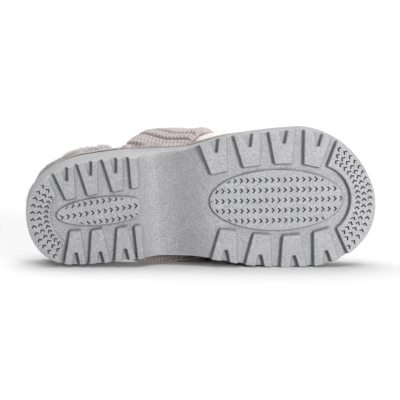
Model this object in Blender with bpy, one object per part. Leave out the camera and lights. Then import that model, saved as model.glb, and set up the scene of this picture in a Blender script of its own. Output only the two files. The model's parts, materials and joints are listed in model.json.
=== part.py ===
"""A right-foot mule slipper on a lugged foam sole, lying on its big-toe side.

The shoe is modelled in its own frame, in millimetres: x runs from the back of the heel to the toe, y towards
the big-toe side and z up from the tread. It is then laid on its side: its toe points along +X, its tread
faces -Y, and the floor is z = 0. Meshes are written in metres.
"""

import math
from collections import namedtuple

import bmesh
import bpy
import numpy as np
from mathutils import Matrix, Vector

MM = 0.001
GAP = 0.3  # between pieces that touch

# Driving sizes
LENGTH = 265.2  # tread, heel to toe
# Length over which each end of the outline rounds, and how square it is, on the little-toe side (-1) and on
# the big-toe side (1)
HEEL_ROUNDING = {-1: (46.0, 1.87), 1: (36.0, 2.3)}
TOE_ROUNDING = {-1: (56.0, 1.88), 1: (55.0, 2.05)}
TOE_SPRING = 8.0  # lift of the tread at the toe, starting at SPRING_START
SPRING_START = 215.0
HEEL_BEVEL = 1.2  # lift of the tread at the back of the heel, ending at BEVEL_END
BEVEL_END = 20.0
WALL_BULGE = 0.6  # how far the side of the sole swells at mid height

LUG_HEIGHT = 4.2
LUG_DRAFT = 0.2  # run for each unit of height on every lug wall
NOTCH_OUTER = 0.40  # width of a lug's notch at the edge of the tread, as a share of the lug's
NOTCH_INNER = 3.0  # and at its inner end
NOTCH_FOLLOW = 0.6  # how much of the lug's slant it shares
BREAST = 86.6  # front edge of the heel
OVAL_HEIGHT = 2.0

WALL = 3.0  # thickness of the upper: plush, backing and lining
FOOT_INSET = 1.2  # from the rim of the sole to the foot of the upper
TUCK_HEIGHT = 13.0  # height over which the upper's foot turns in to the rim
RIDGE_SHIFT = 3.0  # how far the instep's ridge lies towards the big-toe side
SECTION_POWER = 2.5  # squareness of the upper's sections
LEAN_POWER = 0.6  # below 1, a section leans forward most near the rim
VAMP_TOE_REACH = 34.0
VAMP_TOE_POWER = 2.2
CUFF_THICK = 8.0
CUFF_EDGE = 0.35  # share of that thickness left at its front and back edges
CUFF_FRONT = 125.0  # where the band's front edge meets the rim
FOOTBED_THICK = 5.0
FOOTBED_CUP = 2.6  # how far the middle of the heel sinks
FOOTBED_NARROWS = (63.0, 72.0)  # where its edge steps in, to pass inside the upper
FOOTBED_TOE_ROOM = 3.6  # more clearance where the upper's toe curves in over it
COLLAR_END = 66.0  # how far forward the heel collar reaches
COLLAR_THICK = 8.4
COLLAR_HEIGHT = 16.0
COLLAR_BACK = -0.9  # its middle, outside the edge of the tread at the back
# On each side: how far out it gets, and where along the heel it moves there
COLLAR_SIDES = {-1: (1.6, 34.0, 60.0), 1: (2.7, 10.0, 46.0)}

# Plan and side of the sole. half and centre place the edge of the tread, and the two flares move the rim out
# from it, on the little-toe side and on the big-toe side.
SoleSection = namedtuple("SoleSection", "x centre half lateral_flare medial_flare rim_z")
SOLE = (
    SoleSection(0, 4.3, 38.2, 1.6, 1.6, 37.0),
    SoleSection(36, 5.4, 38.2, 1.6, 1.6, 36.5),
    SoleSection(60, 4.0, 38.8, 1.7, 1.6, 36.0),
    SoleSection(76, 3.4, 39.0, 1.9, 1.4, 35.4),
    SoleSection(97, 4.9, 38.2, 4.0, 0.8, 33.4),
    SoleSection(112, 5.1, 38.8, 3.6, 0.4, 31.2),
    SoleSection(127, 3.5, 41.4, 0.0, -1.0, 29.0),
    SoleSection(138, 2.3, 44.6, -2.0, -2.0, 27.8),
    SoleSection(150, 2.1, 47.6, -2.6, -2.6, 27.0),
    SoleSection(164, 2.7, 50.1, -2.4, -2.4, 26.3),
    SoleSection(190, 3.7, 52.7, -2.0, -2.0, 25.8),
    SoleSection(216, 4.2, 53.2, -1.8, -1.8, 26.6),
    SoleSection(241, 5.8, 53.2, -1.8, -1.8, 29.0),
    SoleSection(255, 7.9, 53.2, -1.8, -1.8, 30.8),
    SoleSection(266, 11.0, 53.2, -1.8, -1.8, 32.0),
)

# How far the waist lifts above the floor of the tread
ArchSection = namedtuple("ArchSection", "x lift")
ARCH = (
    ArchSection(BREAST, 0.0),
    ArchSection(90, 5.4),
    ArchSection(94, 9.6),
    ArchSection(98.5, 11.9),
    ArchSection(104, 12.4),
    ArchSection(112, 10.9),
    ArchSection(121, 7.2),
    ArchSection(130, 3.0),
    ArchSection(137, 0.7),
    ArchSection(142, 0.0),
)

# Each lug is a wedge from the edge of the tread inwards: x of its middle and its width at both ends, y of its
# inner end, how that end slants, and how far in the notch in its outer end goes.
Lug = namedtuple("Lug", "outer_x outer_width inner_x inner_width inner_y slant notch_depth")
LUGS = (
    Lug(31.0, 15.0, 34.8, 6.8, -6.7, -0.16, 9.2),
    Lug(49.6, 15.2, 51.5, 7.0, -9.0, -0.14, 9.0),
    Lug(68.6, 15.0, 70.7, 7.3, -10.5, -0.14, 9.3),
    Lug(34.3, 15.8, 36.3, 7.5, 18.4, 0.05, 9.3),
    Lug(53.2, 15.6, 52.7, 7.6, 18.5, -0.12, 9.0),
    Lug(72.4, 15.2, 72.0, 7.2, 18.0, -0.14, 9.2),
    Lug(144.9, 20.0, 148.1, 11.8, -19.3, -0.14, 9.2),
    Lug(170.9, 19.6, 172.8, 12.2, -22.7, -0.08, 10.0),
    Lug(197.3, 19.4, 196.7, 12.1, -23.1, 0.04, 10.8),
    Lug(224.2, 19.2, 218.3, 11.5, -20.0, 0.28, 11.8),
    Lug(147.5, 18.8, 152.0, 12.0, 25.6, 0.17, 9.0),
    Lug(173.3, 19.6, 177.4, 12.1, 30.5, 0.15, 9.0),
    Lug(199.7, 19.2, 199.7, 12.6, 32.6, -0.02, 9.2),
    Lug(225.1, 18.8, 222.4, 11.2, 30.3, -0.20, 10.4),
)

# The half lugs that end at the breast
HalfLug = namedtuple("HalfLug", "outer_x inner_x inner_y slant")
HALF_LUGS = (
    HalfLug(81.0, 81.4, -11.6, -0.10),
    HalfLug(82.5, 81.5, 17.8, -0.13),
)

# Crescents: the arc that bounds each one, and where its two end edges leave the arc and the tread
Crescent = namedtuple("Crescent", "arc_x arc_y radius outer_side_x outer_side_y medial_side_x medial_side_y")
HEEL_CRESCENT = Crescent(45.3, 6.0, 27.2, 15.0, -31.0, 21.5, 44.5)
TOE_CRESCENT = Crescent(219.0, 6.5, 27.7, 239.0, -38.0, 241.8, 48.4)
HEEL_CRESCENT_CORNERS = (216.5, 131.0)  # degrees round the arc's centre, little-toe side first
TOE_CRESCENT_CORNERS = (-66.0, 55.5)

Oval = namedtuple("Oval", "x y long_half short_half turn front")
OVALS = (
    Oval(58.0, 4.4, 35.0, 10.4, -2.2, BREAST),
    Oval(190.0, 4.8, 50.4, 23.0, 2.4, LENGTH),
)

# Upper: where each section stands on the rim, how far its ridge leans forward of that, how far its sides
# stand out from the edge of the tread, and the height of its ridge.
UpperSection = namedtuple("UpperSection", "x lean medial_out lateral_out ridge_z")
UPPER = (
    UpperSection(73, 42, 1.6, 6.0, 91.0),
    UpperSection(84, 41, 2.0, 7.4, 90.0),
    UpperSection(97, 38, 2.4, 8.4, 88.0),
    UpperSection(112, 34, 3.4, 8.2, 84.5),
    UpperSection(127, 29, 5.4, 7.0, 80.0),
    UpperSection(138, 25, 7.0, 4.4, 76.5),
    UpperSection(150, 21, 7.6, -0.1, 73.0),
    UpperSection(164, 15, 6.2, -2.6, 69.0),
    UpperSection(182, 9, 2.4, -3.8, 64.5),
    UpperSection(212, 2, -2.0, -3.6, 57.5),
    UpperSection(236, 0, -2.6, -3.2, 52.0),
    UpperSection(266, 0, -2.8, -3.0, 46.0),
)


def curve(table, column, x):
    """A smooth line through one column of a table, with each slope taken from the rows on both sides."""
    at = np.array([row.x for row in table], float)
    value = np.array([getattr(row, column) for row in table], float)
    slope = np.gradient(value, at)
    x = np.clip(x, at[0], at[-1])
    row = np.clip(np.searchsorted(at, x, side="right") - 1, 0, len(at) - 2)
    step = at[row + 1] - at[row]
    t = (x - at[row]) / step
    start = (1 + 2 * t) * (1 - t) ** 2 * value[row] + t * (1 - t) ** 2 * slope[row] * step
    end = t**2 * (3 - 2 * t) * value[row + 1] + t**2 * (t - 1) * slope[row + 1] * step
    return start + end


def rounded_end(distance, reach, power):
    """Share of the full width at a distance from a superelliptic end."""
    away = np.clip(1 - distance / reach, 0, 1)
    return (1 - away**power) ** (1 / power)


def ease(value, low, high):
    t = np.clip((value - low) / (high - low), 0, 1)
    return t * t * (3 - 2 * t)


def stations(start, end, count):
    """Positions crowded towards both ends."""
    return start + (end - start) * (1 - np.cos(np.linspace(0, math.pi, count))) / 2


def ground(x):
    """The lowest surface of the tread: flat, with the toe spring and a small heel bevel."""
    spring = TOE_SPRING * np.clip((x - SPRING_START) / (LENGTH - SPRING_START), 0, None) ** 2
    bevel = HEEL_BEVEL * np.clip((BEVEL_END - x) / BEVEL_END, 0, None) ** 2
    return spring + bevel


def tread_floor(x):
    """The surface between the lugs, which lifts into the arch at the waist."""
    return ground(x) + LUG_HEIGHT + curve(ARCH, "lift", x)


def side_y(x, side, out, heel_out, toe_out):
    """One side of the outline grown by out, which ends at -heel_out and LENGTH + toe_out."""
    heel = rounded_end(x + heel_out, *HEEL_ROUNDING[side])
    toe = rounded_end(LENGTH + toe_out - x, *TOE_ROUNDING[side])
    return curve(SOLE, "centre", x) + side * (curve(SOLE, "half", x) + out) * heel * toe


def rim_out(x, side, inset=0.0):
    return curve(SOLE, "lateral_flare" if side < 0 else "medial_flare", x) - inset


def end_out(x, inset=0.0):
    """How far the rim stands out at either end, where its two sides meet."""
    return float(rim_out(np.array(x), -1, inset))


def rim_z(x):
    return curve(SOLE, "rim_z", x)


def ring_between(x, low_y, high_y, z):
    """A closed ring: along the little-toe side to the toe, and back along the big-toe side."""
    z = np.broadcast_to(z, x.shape)
    low = np.stack([x, low_y, z], axis=1)
    high = np.stack([x, high_y, z], axis=1)
    return np.concatenate([low, high[::-1]])


def new_object(name, mesh_data, colour, roughness):
    mesh = bpy.data.meshes.new(name)
    mesh_data.to_mesh(mesh)
    mesh_data.free()
    mesh.transform(Matrix.Scale(MM, 4))
    obj = bpy.data.objects.new(name, mesh)
    bpy.context.scene.collection.objects.link(obj)
    material = bpy.data.materials.new(name)
    material.use_nodes = True
    shader = material.node_tree.nodes["Principled BSDF"]
    shader.inputs["Base Color"].default_value = (*colour, 1)
    shader.inputs["Roughness"].default_value = roughness
    shader.inputs["Metallic"].default_value = 0
    mesh.materials.append(material)
    return obj


def shade(obj, angle):
    obj.data.shade_smooth()
    obj.data.set_sharp_from_angle(angle=math.radians(angle))
    return obj


def loft(rings):
    """Skins rings of equal length, and closes the first and last with rungs across from their first half to
    their second."""
    rings = np.asarray(rings, float)
    count, around, _ = rings.shape
    points, index = np.unique(np.round(rings.reshape(-1, 3), 4), axis=0, return_inverse=True)
    index = index.reshape(count, around)
    mesh = bmesh.new()
    verts = [mesh.verts.new(point) for point in points]

    def add_face(*corners):
        corners = dict.fromkeys(corners)
        if len(corners) > 2:
            mesh.faces.new([verts[corner] for corner in corners])

    for ring, following in zip(index, index[1:]):
        for i in range(around):
            j = (i + 1) % around
            add_face(ring[i], ring[j], following[j], following[i])
    for ring in (index[0], index[-1]):
        for i in range(around // 2 - 1):
            add_face(ring[i], ring[i + 1], ring[around - 2 - i], ring[around - 1 - i])
    bmesh.ops.recalc_face_normals(mesh, faces=mesh.faces)
    return mesh


def grown(outline, amount):
    """A polygon with every edge moved out by amount and its corners mitred."""
    outline = np.asarray(outline, float)
    along = np.roll(outline, -1, axis=0) - outline
    along /= np.linalg.norm(along, axis=1)[:, None]
    area = np.sum(outline[:, 0] * np.roll(outline[:, 1], -1) - np.roll(outline[:, 0], -1) * outline[:, 1])
    outward = np.stack([along[:, 1], -along[:, 0]], axis=1) * np.sign(area)
    before = np.roll(outward, 1, axis=0)
    meeting = before + outward
    meeting /= (1 + np.sum(before * outward, axis=1))[:, None]
    return outline + meeting * amount


def add_prism(mesh, outline, low, high):
    """Adds a drafted prism to mesh: the outline is true at z = 0 and grows with height."""
    rings = []
    for z in (low, high):
        rings.append([mesh.verts.new((*point, z)) for point in grown(outline, LUG_DRAFT * z)])
    count = len(outline)
    for i in range(count):
        j = (i + 1) % count
        mesh.faces.new((rings[0][i], rings[0][j], rings[1][j], rings[1][i]))
    mesh.faces.new(rings[0])
    mesh.faces.new(rings[1])


def tread_edge(x, side):
    return float(side_y(np.array(x, float), side, 0, 0, 0))


def lug_outline(lug):
    """A wedge with a tapered notch in its outer end, carried a little past the edge of the tread."""
    side = 1 if lug.inner_y > 0 else -1
    past = 1.5
    edge = tread_edge(lug.outer_x, side)

    def across(x_middle, width, share):
        return x_middle + (share - 0.5) * width

    corners = []
    for share in (0, 1):
        inner_x = across(lug.inner_x, lug.inner_width, share)
        outer_x = across(lug.outer_x, lug.outer_width, share)
        inner = Vector((inner_x, lug.inner_y + lug.slant * (inner_x - lug.inner_x)))
        outer = Vector((outer_x, tread_edge(outer_x, side)))
        corners.append((inner, outer + (outer - inner).normalized() * past))
    slope = (lug.inner_x - lug.outer_x) / (lug.inner_y - edge) * NOTCH_FOLLOW
    notch_x = lug.outer_x + 0.04 * lug.outer_width
    notch_y = edge - side * lug.notch_depth
    notch = []
    for share in (0, 1):
        inner = Vector((across(notch_x, NOTCH_INNER, share) + slope * (notch_y - edge), notch_y))
        outer = Vector((across(notch_x, NOTCH_OUTER * lug.outer_width, share), edge))
        beyond = corners[share][1].y + 0.3 * side
        reach = (beyond - inner.y) / (outer.y - inner.y)
        notch.append((inner, inner + (outer - inner) * reach))
    (back_in, back_out), (front_in, front_out) = corners
    (notch_back_in, notch_back_out), (notch_front_in, notch_front_out) = notch
    return [
        back_in,
        back_out,
        notch_back_out,
        notch_back_in,
        notch_front_in,
        notch_front_out,
        front_out,
        front_in,
    ]


def half_lug_outline(lug):
    side = 1 if lug.inner_y > 0 else -1
    past = 1.5 * side
    return [
        (lug.inner_x, lug.inner_y),
        (lug.outer_x, tread_edge(lug.outer_x, side) + past),
        (BREAST, tread_edge(BREAST, side) + past),
        (BREAST, lug.inner_y + lug.slant * (BREAST - lug.inner_x)),
    ]


def crescent_outline(crescent, corners, beyond):
    """An arc that is open towards the middle of the shoe, closed far outside the tread."""
    angles = np.radians(np.linspace(*corners, 15))
    arc = np.stack([np.cos(angles), np.sin(angles)], axis=1) * crescent.radius
    arc += (crescent.arc_x, crescent.arc_y)
    sides = ((crescent.outer_side_x, crescent.outer_side_y), (crescent.medial_side_x, crescent.medial_side_y))
    first = arc[0] + (np.array(sides[0]) - arc[0]) * 1.15
    last = arc[-1] + (np.array(sides[1]) - arc[-1]) * 1.15
    return [first, *arc, last, (beyond, last[1] + 8), (beyond, first[1] - 8)]


def make_kept_tread():
    """Everything that stands down from the tread floor, as drafted prisms through it."""
    mesh = bmesh.new()
    for lug in LUGS:
        add_prism(mesh, lug_outline(lug), -1.0, float(tread_floor(np.array(lug.outer_x))) + 0.9)
    for lug in HALF_LUGS:
        add_prism(mesh, half_lug_outline(lug), -1.0, LUG_HEIGHT + 0.9)
    add_prism(mesh, crescent_outline(HEEL_CRESCENT, HEEL_CRESCENT_CORNERS, -20.0), -1.0, 9.0)
    add_prism(mesh, crescent_outline(TOE_CRESCENT, TOE_CRESCENT_CORNERS, LENGTH + 20.0), -1.0, 16.0)
    bmesh.ops.recalc_face_normals(mesh, faces=mesh.faces)
    return mesh


def make_tread_cutter():
    """A slab under the tread, up to the tread floor."""
    x = np.unique(np.concatenate([np.linspace(-14, 84, 12), np.linspace(BREAST, 142, 20),
                                  np.linspace(150, 290, 18)]))
    half = np.full(x.shape, 72.0)
    return loft([ring_between(x, -half, half, -10.0), ring_between(x, -half, half, tread_floor(x))])


def make_sole_block():
    """The whole sole before its tread is cut: a stack of outlines from the ground to the rim."""
    rings = []
    for level in (0.0, 0.14, 0.36, 0.62, 0.86, 1.0):
        swell = WALL_BULGE * math.sin(math.pi * level)
        heel_out = end_out(0.0) * level + swell
        toe_out = end_out(LENGTH) * level + swell
        x = stations(-heel_out, LENGTH + toe_out, 46)
        low, high = [
            side_y(x, side, rim_out(x, side) * level + swell, heel_out, toe_out) for side in (-1, 1)
        ]
        rings.append(ring_between(x, low, high, ground(x) * (1 - level) + rim_z(x) * level))
    return loft(rings)


def make_oval(oval):
    """A low oval pad on the tread floor, cut off square where it meets the breast."""
    turn = math.radians(oval.turn)
    reach = min(1.0, (oval.front - oval.x) / oval.long_half)
    along = stations(-1, reach, 30)
    across = np.sqrt(np.clip(1 - along**2, 0, None)) * oval.short_half
    rings = []
    for below, grow in ((OVAL_HEIGHT, 0.0), (-1.5, OVAL_HEIGHT * LUG_DRAFT)):
        long_way = along * (oval.long_half + grow * (reach == 1.0))
        ring = ring_between(long_way, -across - grow * (across > 0), across + grow * (across > 0), 0.0)
        x = oval.x + ring[:, 0] * math.cos(turn) - ring[:, 1] * math.sin(turn)
        y = oval.y + ring[:, 0] * math.sin(turn) + ring[:, 1] * math.cos(turn)
        x = np.minimum(x, oval.front - 0.4 * (reach < 1.0))
        flat = np.maximum(x, SPRING_START)
        z = ground(flat) + LUG_HEIGHT - below
        rings.append(np.stack([x, y, z], axis=1))
    return loft(rings)


def boolean(obj, other, operation):
    modifier = obj.modifiers.new(f"{operation.lower()} {other.name}", "BOOLEAN")
    modifier.operation = operation
    modifier.solver = "EXACT"
    modifier.object = other
    other.hide_render = True
    other.display_type = "WIRE"


def make_sole():
    grey = (0.42, 0.42, 0.43)
    sole = new_object("sole", make_sole_block(), grey, 0.6)
    cutter = new_object("tread_cutter", make_tread_cutter(), grey, 0.6)
    kept = new_object("tread_kept", make_kept_tread(), grey, 0.6)
    boolean(cutter, kept, "DIFFERENCE")
    boolean(sole, cutter, "DIFFERENCE")
    helpers = [cutter, kept]
    for number, oval in enumerate(OVALS, 1):
        pad = new_object(f"oval_{number}", make_oval(oval), grey, 0.6)
        boolean(sole, pad, "UNION")
        helpers.append(pad)
    return shade(sole, 35), helpers


def upper_surface(x, sweep, proud):
    """Points of the upper's surface moved out by proud. x is where each section stands on the rim, and sweep
    runs over it from -1, the rim on the little-toe side, to 1, the rim on the big-toe side."""
    toe_out = end_out(LENGTH, FOOT_INSET) + proud
    end = LENGTH + toe_out
    foot = [
        side_y(x, side, rim_out(x, side, FOOT_INSET) + proud, 0, toe_out)[:, None] for side in (-1, 1)
    ]
    bulge = []
    for side, column in ((-1, "lateral_out"), (1, "medial_out")):
        out = curve(UPPER, column, x) + proud
        bulge.append(side_y(x, side, out, 0, toe_out)[:, None])
    foot_z = (rim_z(x) + GAP)[:, None]
    rise = (curve(UPPER, "ridge_z", x) + proud)[:, None] - foot_z
    rise = rise * rounded_end(end - x, VAMP_TOE_REACH, VAMP_TOE_POWER)[:, None]
    sweep = np.asarray(sweep)[None, :] * math.pi / 2
    aside = np.sign(sweep) * np.abs(np.sin(sweep)) ** (2 / SECTION_POWER)
    up = np.abs(np.cos(sweep)) ** (2 / SECTION_POWER)
    up = np.where(np.abs(np.abs(sweep) - math.pi / 2) < 1e-9, 0, up)
    narrow = np.clip((end - x) / VAMP_TOE_REACH, 0, 1)[:, None]
    ridge_y = (bulge[0] + bulge[1]) / 2 + RIDGE_SHIFT * narrow
    width = np.where(sweep < 0, ridge_y - bulge[0], bulge[1] - ridge_y)
    z = foot_z + rise * up
    turned_in = np.clip(1 - (z - foot_z) / TUCK_HEIGHT, 0, 1) ** 2
    tuck = np.where(sweep < 0, bulge[0] - foot[0], bulge[1] - foot[1])
    y = ridge_y + aside * width - tuck * turned_in
    lean = curve(UPPER, "lean", x)[:, None] * narrow
    return np.stack([x[:, None] + lean * up**LEAN_POWER, y, z], axis=2)


def sweep_steps():
    """From rim to rim over the instep, crowded at both rims, where the upper turns in."""
    t = np.linspace(-1, 1, 31)
    return np.sign(t) * (1 - (1 - np.abs(t)) ** 1.8)


def wall_rings(outer, inner):
    return np.concatenate([outer, inner[:, ::-1]], axis=1)


def cuff_stations():
    return stations(UPPER[0].x, CUFF_FRONT, 9)


def upper_stations(end):
    """Where the upper's sections stand: as the cuff's under the cuff, then crowded towards the toe."""
    turn = np.linspace(0, math.pi / 2, 23)[1:]
    return np.concatenate([cuff_stations(), CUFF_FRONT + (end - CUFF_FRONT) * np.sin(turn)])


def make_upper():
    sweep = sweep_steps()
    toe_out = end_out(LENGTH, FOOT_INSET)
    outer = upper_surface(upper_stations(LENGTH + toe_out), sweep, 0.0)
    inner = upper_surface(upper_stations(LENGTH + toe_out - WALL), sweep, -WALL)
    return shade(new_object("upper", loft(wall_rings(outer, inner)), (0.72, 0.68, 0.67), 0.95), 50)


def make_cuff():
    """A band round the throat, outside the upper, thick in the middle and rolled at both edges."""
    sweep = sweep_steps()
    x = cuff_stations()
    swell = CUFF_EDGE + (1 - CUFF_EDGE) * np.sqrt(np.clip(1 - (2 * x - x[0] - x[-1]) ** 4
                                                        / (x[-1] - x[0]) ** 4, 0, None))
    inner = upper_surface(x, sweep, GAP)
    rows = [upper_surface(x[i : i + 1], sweep, GAP + CUFF_THICK * swell[i])[0] for i in range(len(x))]
    return shade(new_object("cuff", loft(wall_rings(np.array(rows), inner)), (0.47, 0.43, 0.42), 0.95), 60)


def footbed_inset(x):
    """Its edge follows the rim at the heel and steps in to pass inside the upper."""
    inside = (WALL + 1.0) * ease(x, *FOOTBED_NARROWS)
    return FOOT_INSET + inside + FOOTBED_TOE_ROOM * ease(x, 200, 255)


def make_footbed():
    heel_out = end_out(0.0, footbed_inset(0.0))
    toe_out = end_out(LENGTH, footbed_inset(LENGTH))
    x = stations(-heel_out, LENGTH + toe_out, 40)
    low, high = [
        side_y(x, side, rim_out(x, side, footbed_inset(x)), heel_out, toe_out)[:, None] for side in (-1, 1)
    ]
    share = np.sin(np.linspace(-1, 1, 9) * math.pi / 2)[None, :]
    y = (low + high) / 2 + (high - low) / 2 * share
    bottom = np.broadcast_to((rim_z(x) + GAP)[:, None], y.shape)
    cup = FOOTBED_CUP * (1 - ease(x, 60, 130))[:, None] * (1 - share**2) ** 2
    top = bottom + FOOTBED_THICK - cup * np.clip((high - low) / 50, 0, 1)
    wide = np.broadcast_to(x[:, None], y.shape)
    rings = wall_rings(np.stack([wide, y, bottom], axis=2), np.stack([wide, y, top], axis=2))
    return shade(new_object("footbed", loft(rings), (0.66, 0.63, 0.62), 0.95), 50)


def make_heel_collar():
    """A soft roll on the footbed's edge, round the heel from one side to the other, with tapered ends."""
    x = stations(-COLLAR_BACK, 2 * COLLAR_END + COLLAR_BACK, 61)
    x = x[x <= COLLAR_END]
    edges = []
    for side, (out, start, end) in COLLAR_SIDES.items():
        moved = COLLAR_BACK + (out - COLLAR_BACK) * ease(x, start, end)
        edges.append(side_y(x, side, moved, COLLAR_BACK, 0))
    path = ring_between(x, *edges, 0.0)
    path = np.concatenate([path[: len(x)][::-1], path[len(x) : -1][::-1]])
    run = np.gradient(path[:, :2], axis=0)
    run /= np.linalg.norm(run, axis=1)[:, None]
    outward = np.stack([-run[:, 1], run[:, 0]], axis=1)
    length = np.concatenate([[0], np.cumsum(np.linalg.norm(np.diff(path[:, :2], axis=0), axis=1))])
    size = rounded_end(np.minimum(length, length[-1] - length) + 1.0, 12.0, 2.0)
    angle = np.linspace(0, 2 * math.pi, 12, endpoint=False) + math.pi / 12
    rings = []
    for point, normal, scale in zip(path, outward, size):
        aside = np.cos(angle) * COLLAR_THICK / 2 * scale
        up = COLLAR_HEIGHT / 2 * (1 + np.sin(angle) * scale)
        base = float(rim_z(np.array(point[0]))) + FOOTBED_THICK + 2 * GAP
        x, y = point[:2, None] + normal[:, None] * aside
        rings.append(np.stack([x, y, base + up], axis=1))
    return shade(new_object("heel_collar", loft(rings), (0.55, 0.52, 0.51), 0.98), 60)


def all_points(objects):
    graph = bpy.context.evaluated_depsgraph_get()
    found = []
    for obj in objects:
        mesh = obj.evaluated_get(graph).to_mesh()
        points = np.empty(len(mesh.vertices) * 3)
        mesh.vertices.foreach_get("co", points)
        found.append(points.reshape(-1, 3))
        obj.evaluated_get(graph).to_mesh_clear()
    return np.concatenate(found)


def resting_side(points, near):
    """Outward normal and one point of the plane that the shoe lies on: the facet of its hull, on the big-toe
    side, that lies straight outside the point near."""
    hull = bmesh.new()
    for point in points:
        hull.verts.new(point)
    bmesh.ops.convex_hull(hull, input=hull.verts)
    hull.normal_update()
    best = None
    for face in hull.faces:
        corners = [vert.co for vert in face.verts]
        if face.normal.y < 0.8:
            continue
        foot = near + face.normal * (corners[0] - near).dot(face.normal)
        inside = all(
            (b - a).cross(foot - a).dot(face.normal) >= 0 for a, b in zip(corners, corners[1:] + corners[:1])
        )
        if inside:
            best = (face.normal.copy(), corners[0].copy())
    hull.free()
    return best


def lay_down(objects, helpers):
    """Parents every piece to one empty, turned so that the shoe lies on its big-toe side on the floor."""
    points = all_points(objects)
    weight_centre = Vector((0.132, 0.004, 0.030))
    down, contact = resting_side(points, weight_centre)
    toe = Vector((1, 0, 0))
    toe = (toe - down * toe.dot(down)).normalized()
    away = toe.cross(down).normalized()
    turn = Matrix((toe, away, -down))
    turned = np.array(turn) @ points.T
    low, high = turned.min(axis=1), turned.max(axis=1)
    shift = Vector((-(low[0] + high[0]) / 2, -(low[1] + high[1]) / 2, -low[2]))
    lying = bpy.data.objects.new("lying", None)
    bpy.context.scene.collection.objects.link(lying)
    lying.matrix_world = Matrix.Translation(shift) @ turn.to_4x4()
    for obj in objects + helpers:
        obj.parent = lying


def main():
    for obj in list(bpy.data.objects):
        bpy.data.objects.remove(obj)
    sole, helpers = make_sole()
    pieces = [sole, make_footbed(), make_upper(), make_cuff(), make_heel_collar()]
    lay_down(pieces, helpers)


main()
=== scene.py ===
import json
import math

import bmesh
import bpy
import numpy as np
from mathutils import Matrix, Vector
from mathutils.geometry import delaunay_2d_cdt


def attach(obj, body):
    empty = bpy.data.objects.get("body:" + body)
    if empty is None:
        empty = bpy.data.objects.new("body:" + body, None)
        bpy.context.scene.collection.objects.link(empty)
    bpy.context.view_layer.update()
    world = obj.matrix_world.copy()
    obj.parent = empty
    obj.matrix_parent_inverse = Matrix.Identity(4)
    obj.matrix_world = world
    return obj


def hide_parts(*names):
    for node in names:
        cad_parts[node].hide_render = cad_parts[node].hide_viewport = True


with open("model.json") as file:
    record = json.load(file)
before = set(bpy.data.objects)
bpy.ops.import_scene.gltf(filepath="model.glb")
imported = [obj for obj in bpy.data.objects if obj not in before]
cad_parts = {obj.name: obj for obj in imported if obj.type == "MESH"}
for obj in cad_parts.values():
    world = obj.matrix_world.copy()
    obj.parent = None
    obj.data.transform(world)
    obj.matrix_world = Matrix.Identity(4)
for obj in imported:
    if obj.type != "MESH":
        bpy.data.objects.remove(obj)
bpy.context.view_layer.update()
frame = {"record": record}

scene = bpy.context.scene
scene.view_settings.view_transform = "Standard"


# Shoe axes: millimetres, x from heel to toe, y towards the big toe, z up from the tread
treadPoints = {"heel": (53.0, 31.0), "forefoot": (176.0, 40.0)}  # x and y of the record's two tread mounts


def shoeAxes():
    # The tread's normal gives z; the line between the two tread points, turned by its own slope, gives x.
    mounts = {mount["name"]: mount for mount in frame["record"]["mounts"]}
    heel = np.array(mounts["heel_tread"]["pos_m"])
    forefoot = np.array(mounts["forefoot_tread"]["pos_m"])
    up = -np.array(mounts["heel_tread"]["axis"])
    up /= np.linalg.norm(up)
    along = forefoot - heel
    along /= np.linalg.norm(along)
    side = np.cross(up, along)
    run = treadPoints["forefoot"][0] - treadPoints["heel"][0]
    rise = treadPoints["forefoot"][1] - treadPoints["heel"][1]
    toe = (run * along - rise * side) / math.hypot(run, rise)
    medial = (rise * along + run * side) / math.hypot(run, rise)
    origin = heel - 0.001 * (treadPoints["heel"][0] * toe + treadPoints["heel"][1] * medial)
    return origin, np.stack([toe, medial, up])


shoeOrigin, shoeTurn = shoeAxes()


def toWorld(points):  # from shoe millimetres to metres
    return shoeOrigin + 0.001 * np.asarray(points, float) @ shoeTurn


# Plain helpers

def unit(vectors):  # of length 1
    return vectors / np.maximum(np.linalg.norm(vectors, axis=-1, keepdims=True), 1e-9)


def smoothLine(table, column, x):
    # Cubic through one column of a table, its slope at each row taken from the rows on both sides
    at = np.array(table["x"], float)
    value = np.array(table[column], float)
    slope = np.gradient(value, at)
    x = np.clip(x, at[0], at[-1])
    row = np.clip(np.searchsorted(at, x, side="right") - 1, 0, len(at) - 2)
    step = at[row + 1] - at[row]
    t = (x - at[row]) / step
    start = (1 + 2 * t) * (1 - t) ** 2 * value[row] + t * (1 - t) ** 2 * slope[row] * step
    end = t**2 * (3 - 2 * t) * value[row + 1] + t**2 * (t - 1) * slope[row + 1] * step
    return start + end


def ease(value, low, high):
    # A smooth step from 0 at low to 1 at high
    t = np.clip((value - low) / (high - low), 0, 1)
    return t * t * (3 - 2 * t)


def roundedEnd(distance, reach, power):
    # Share of the full width at a distance from a superelliptic end
    away = np.clip(1 - distance / reach, 0, 1)
    return (1 - away**power) ** (1 / power)


def crowded(start, end, count):
    # Positions from start to end that lie closer together towards both
    return start + (end - start) * (1 - np.cos(np.linspace(0, math.pi, count))) / 2


def joined(grid):
    # A grid whose first column is repeated after its last
    return np.concatenate([grid, grid[:, :1]], axis=1)


def quadsOf(index):
    # Quads between neighbours in a grid of point numbers
    corners = index[:-1, :-1], index[:-1, 1:], index[1:, 1:], index[1:, :-1]
    return np.stack(corners, axis=-1).reshape(-1, 4)


def tubeFaces(points, capped=False):
    # Quads round rows of points stored row by row, and one face over each end row if capped
    rows, columns = points.shape[:2]
    index = np.arange(rows * columns).reshape(rows, columns)
    return [quadsOf(joined(index))] + ([index[:1, ::-1], index[-1:]] if capped else [])


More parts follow.
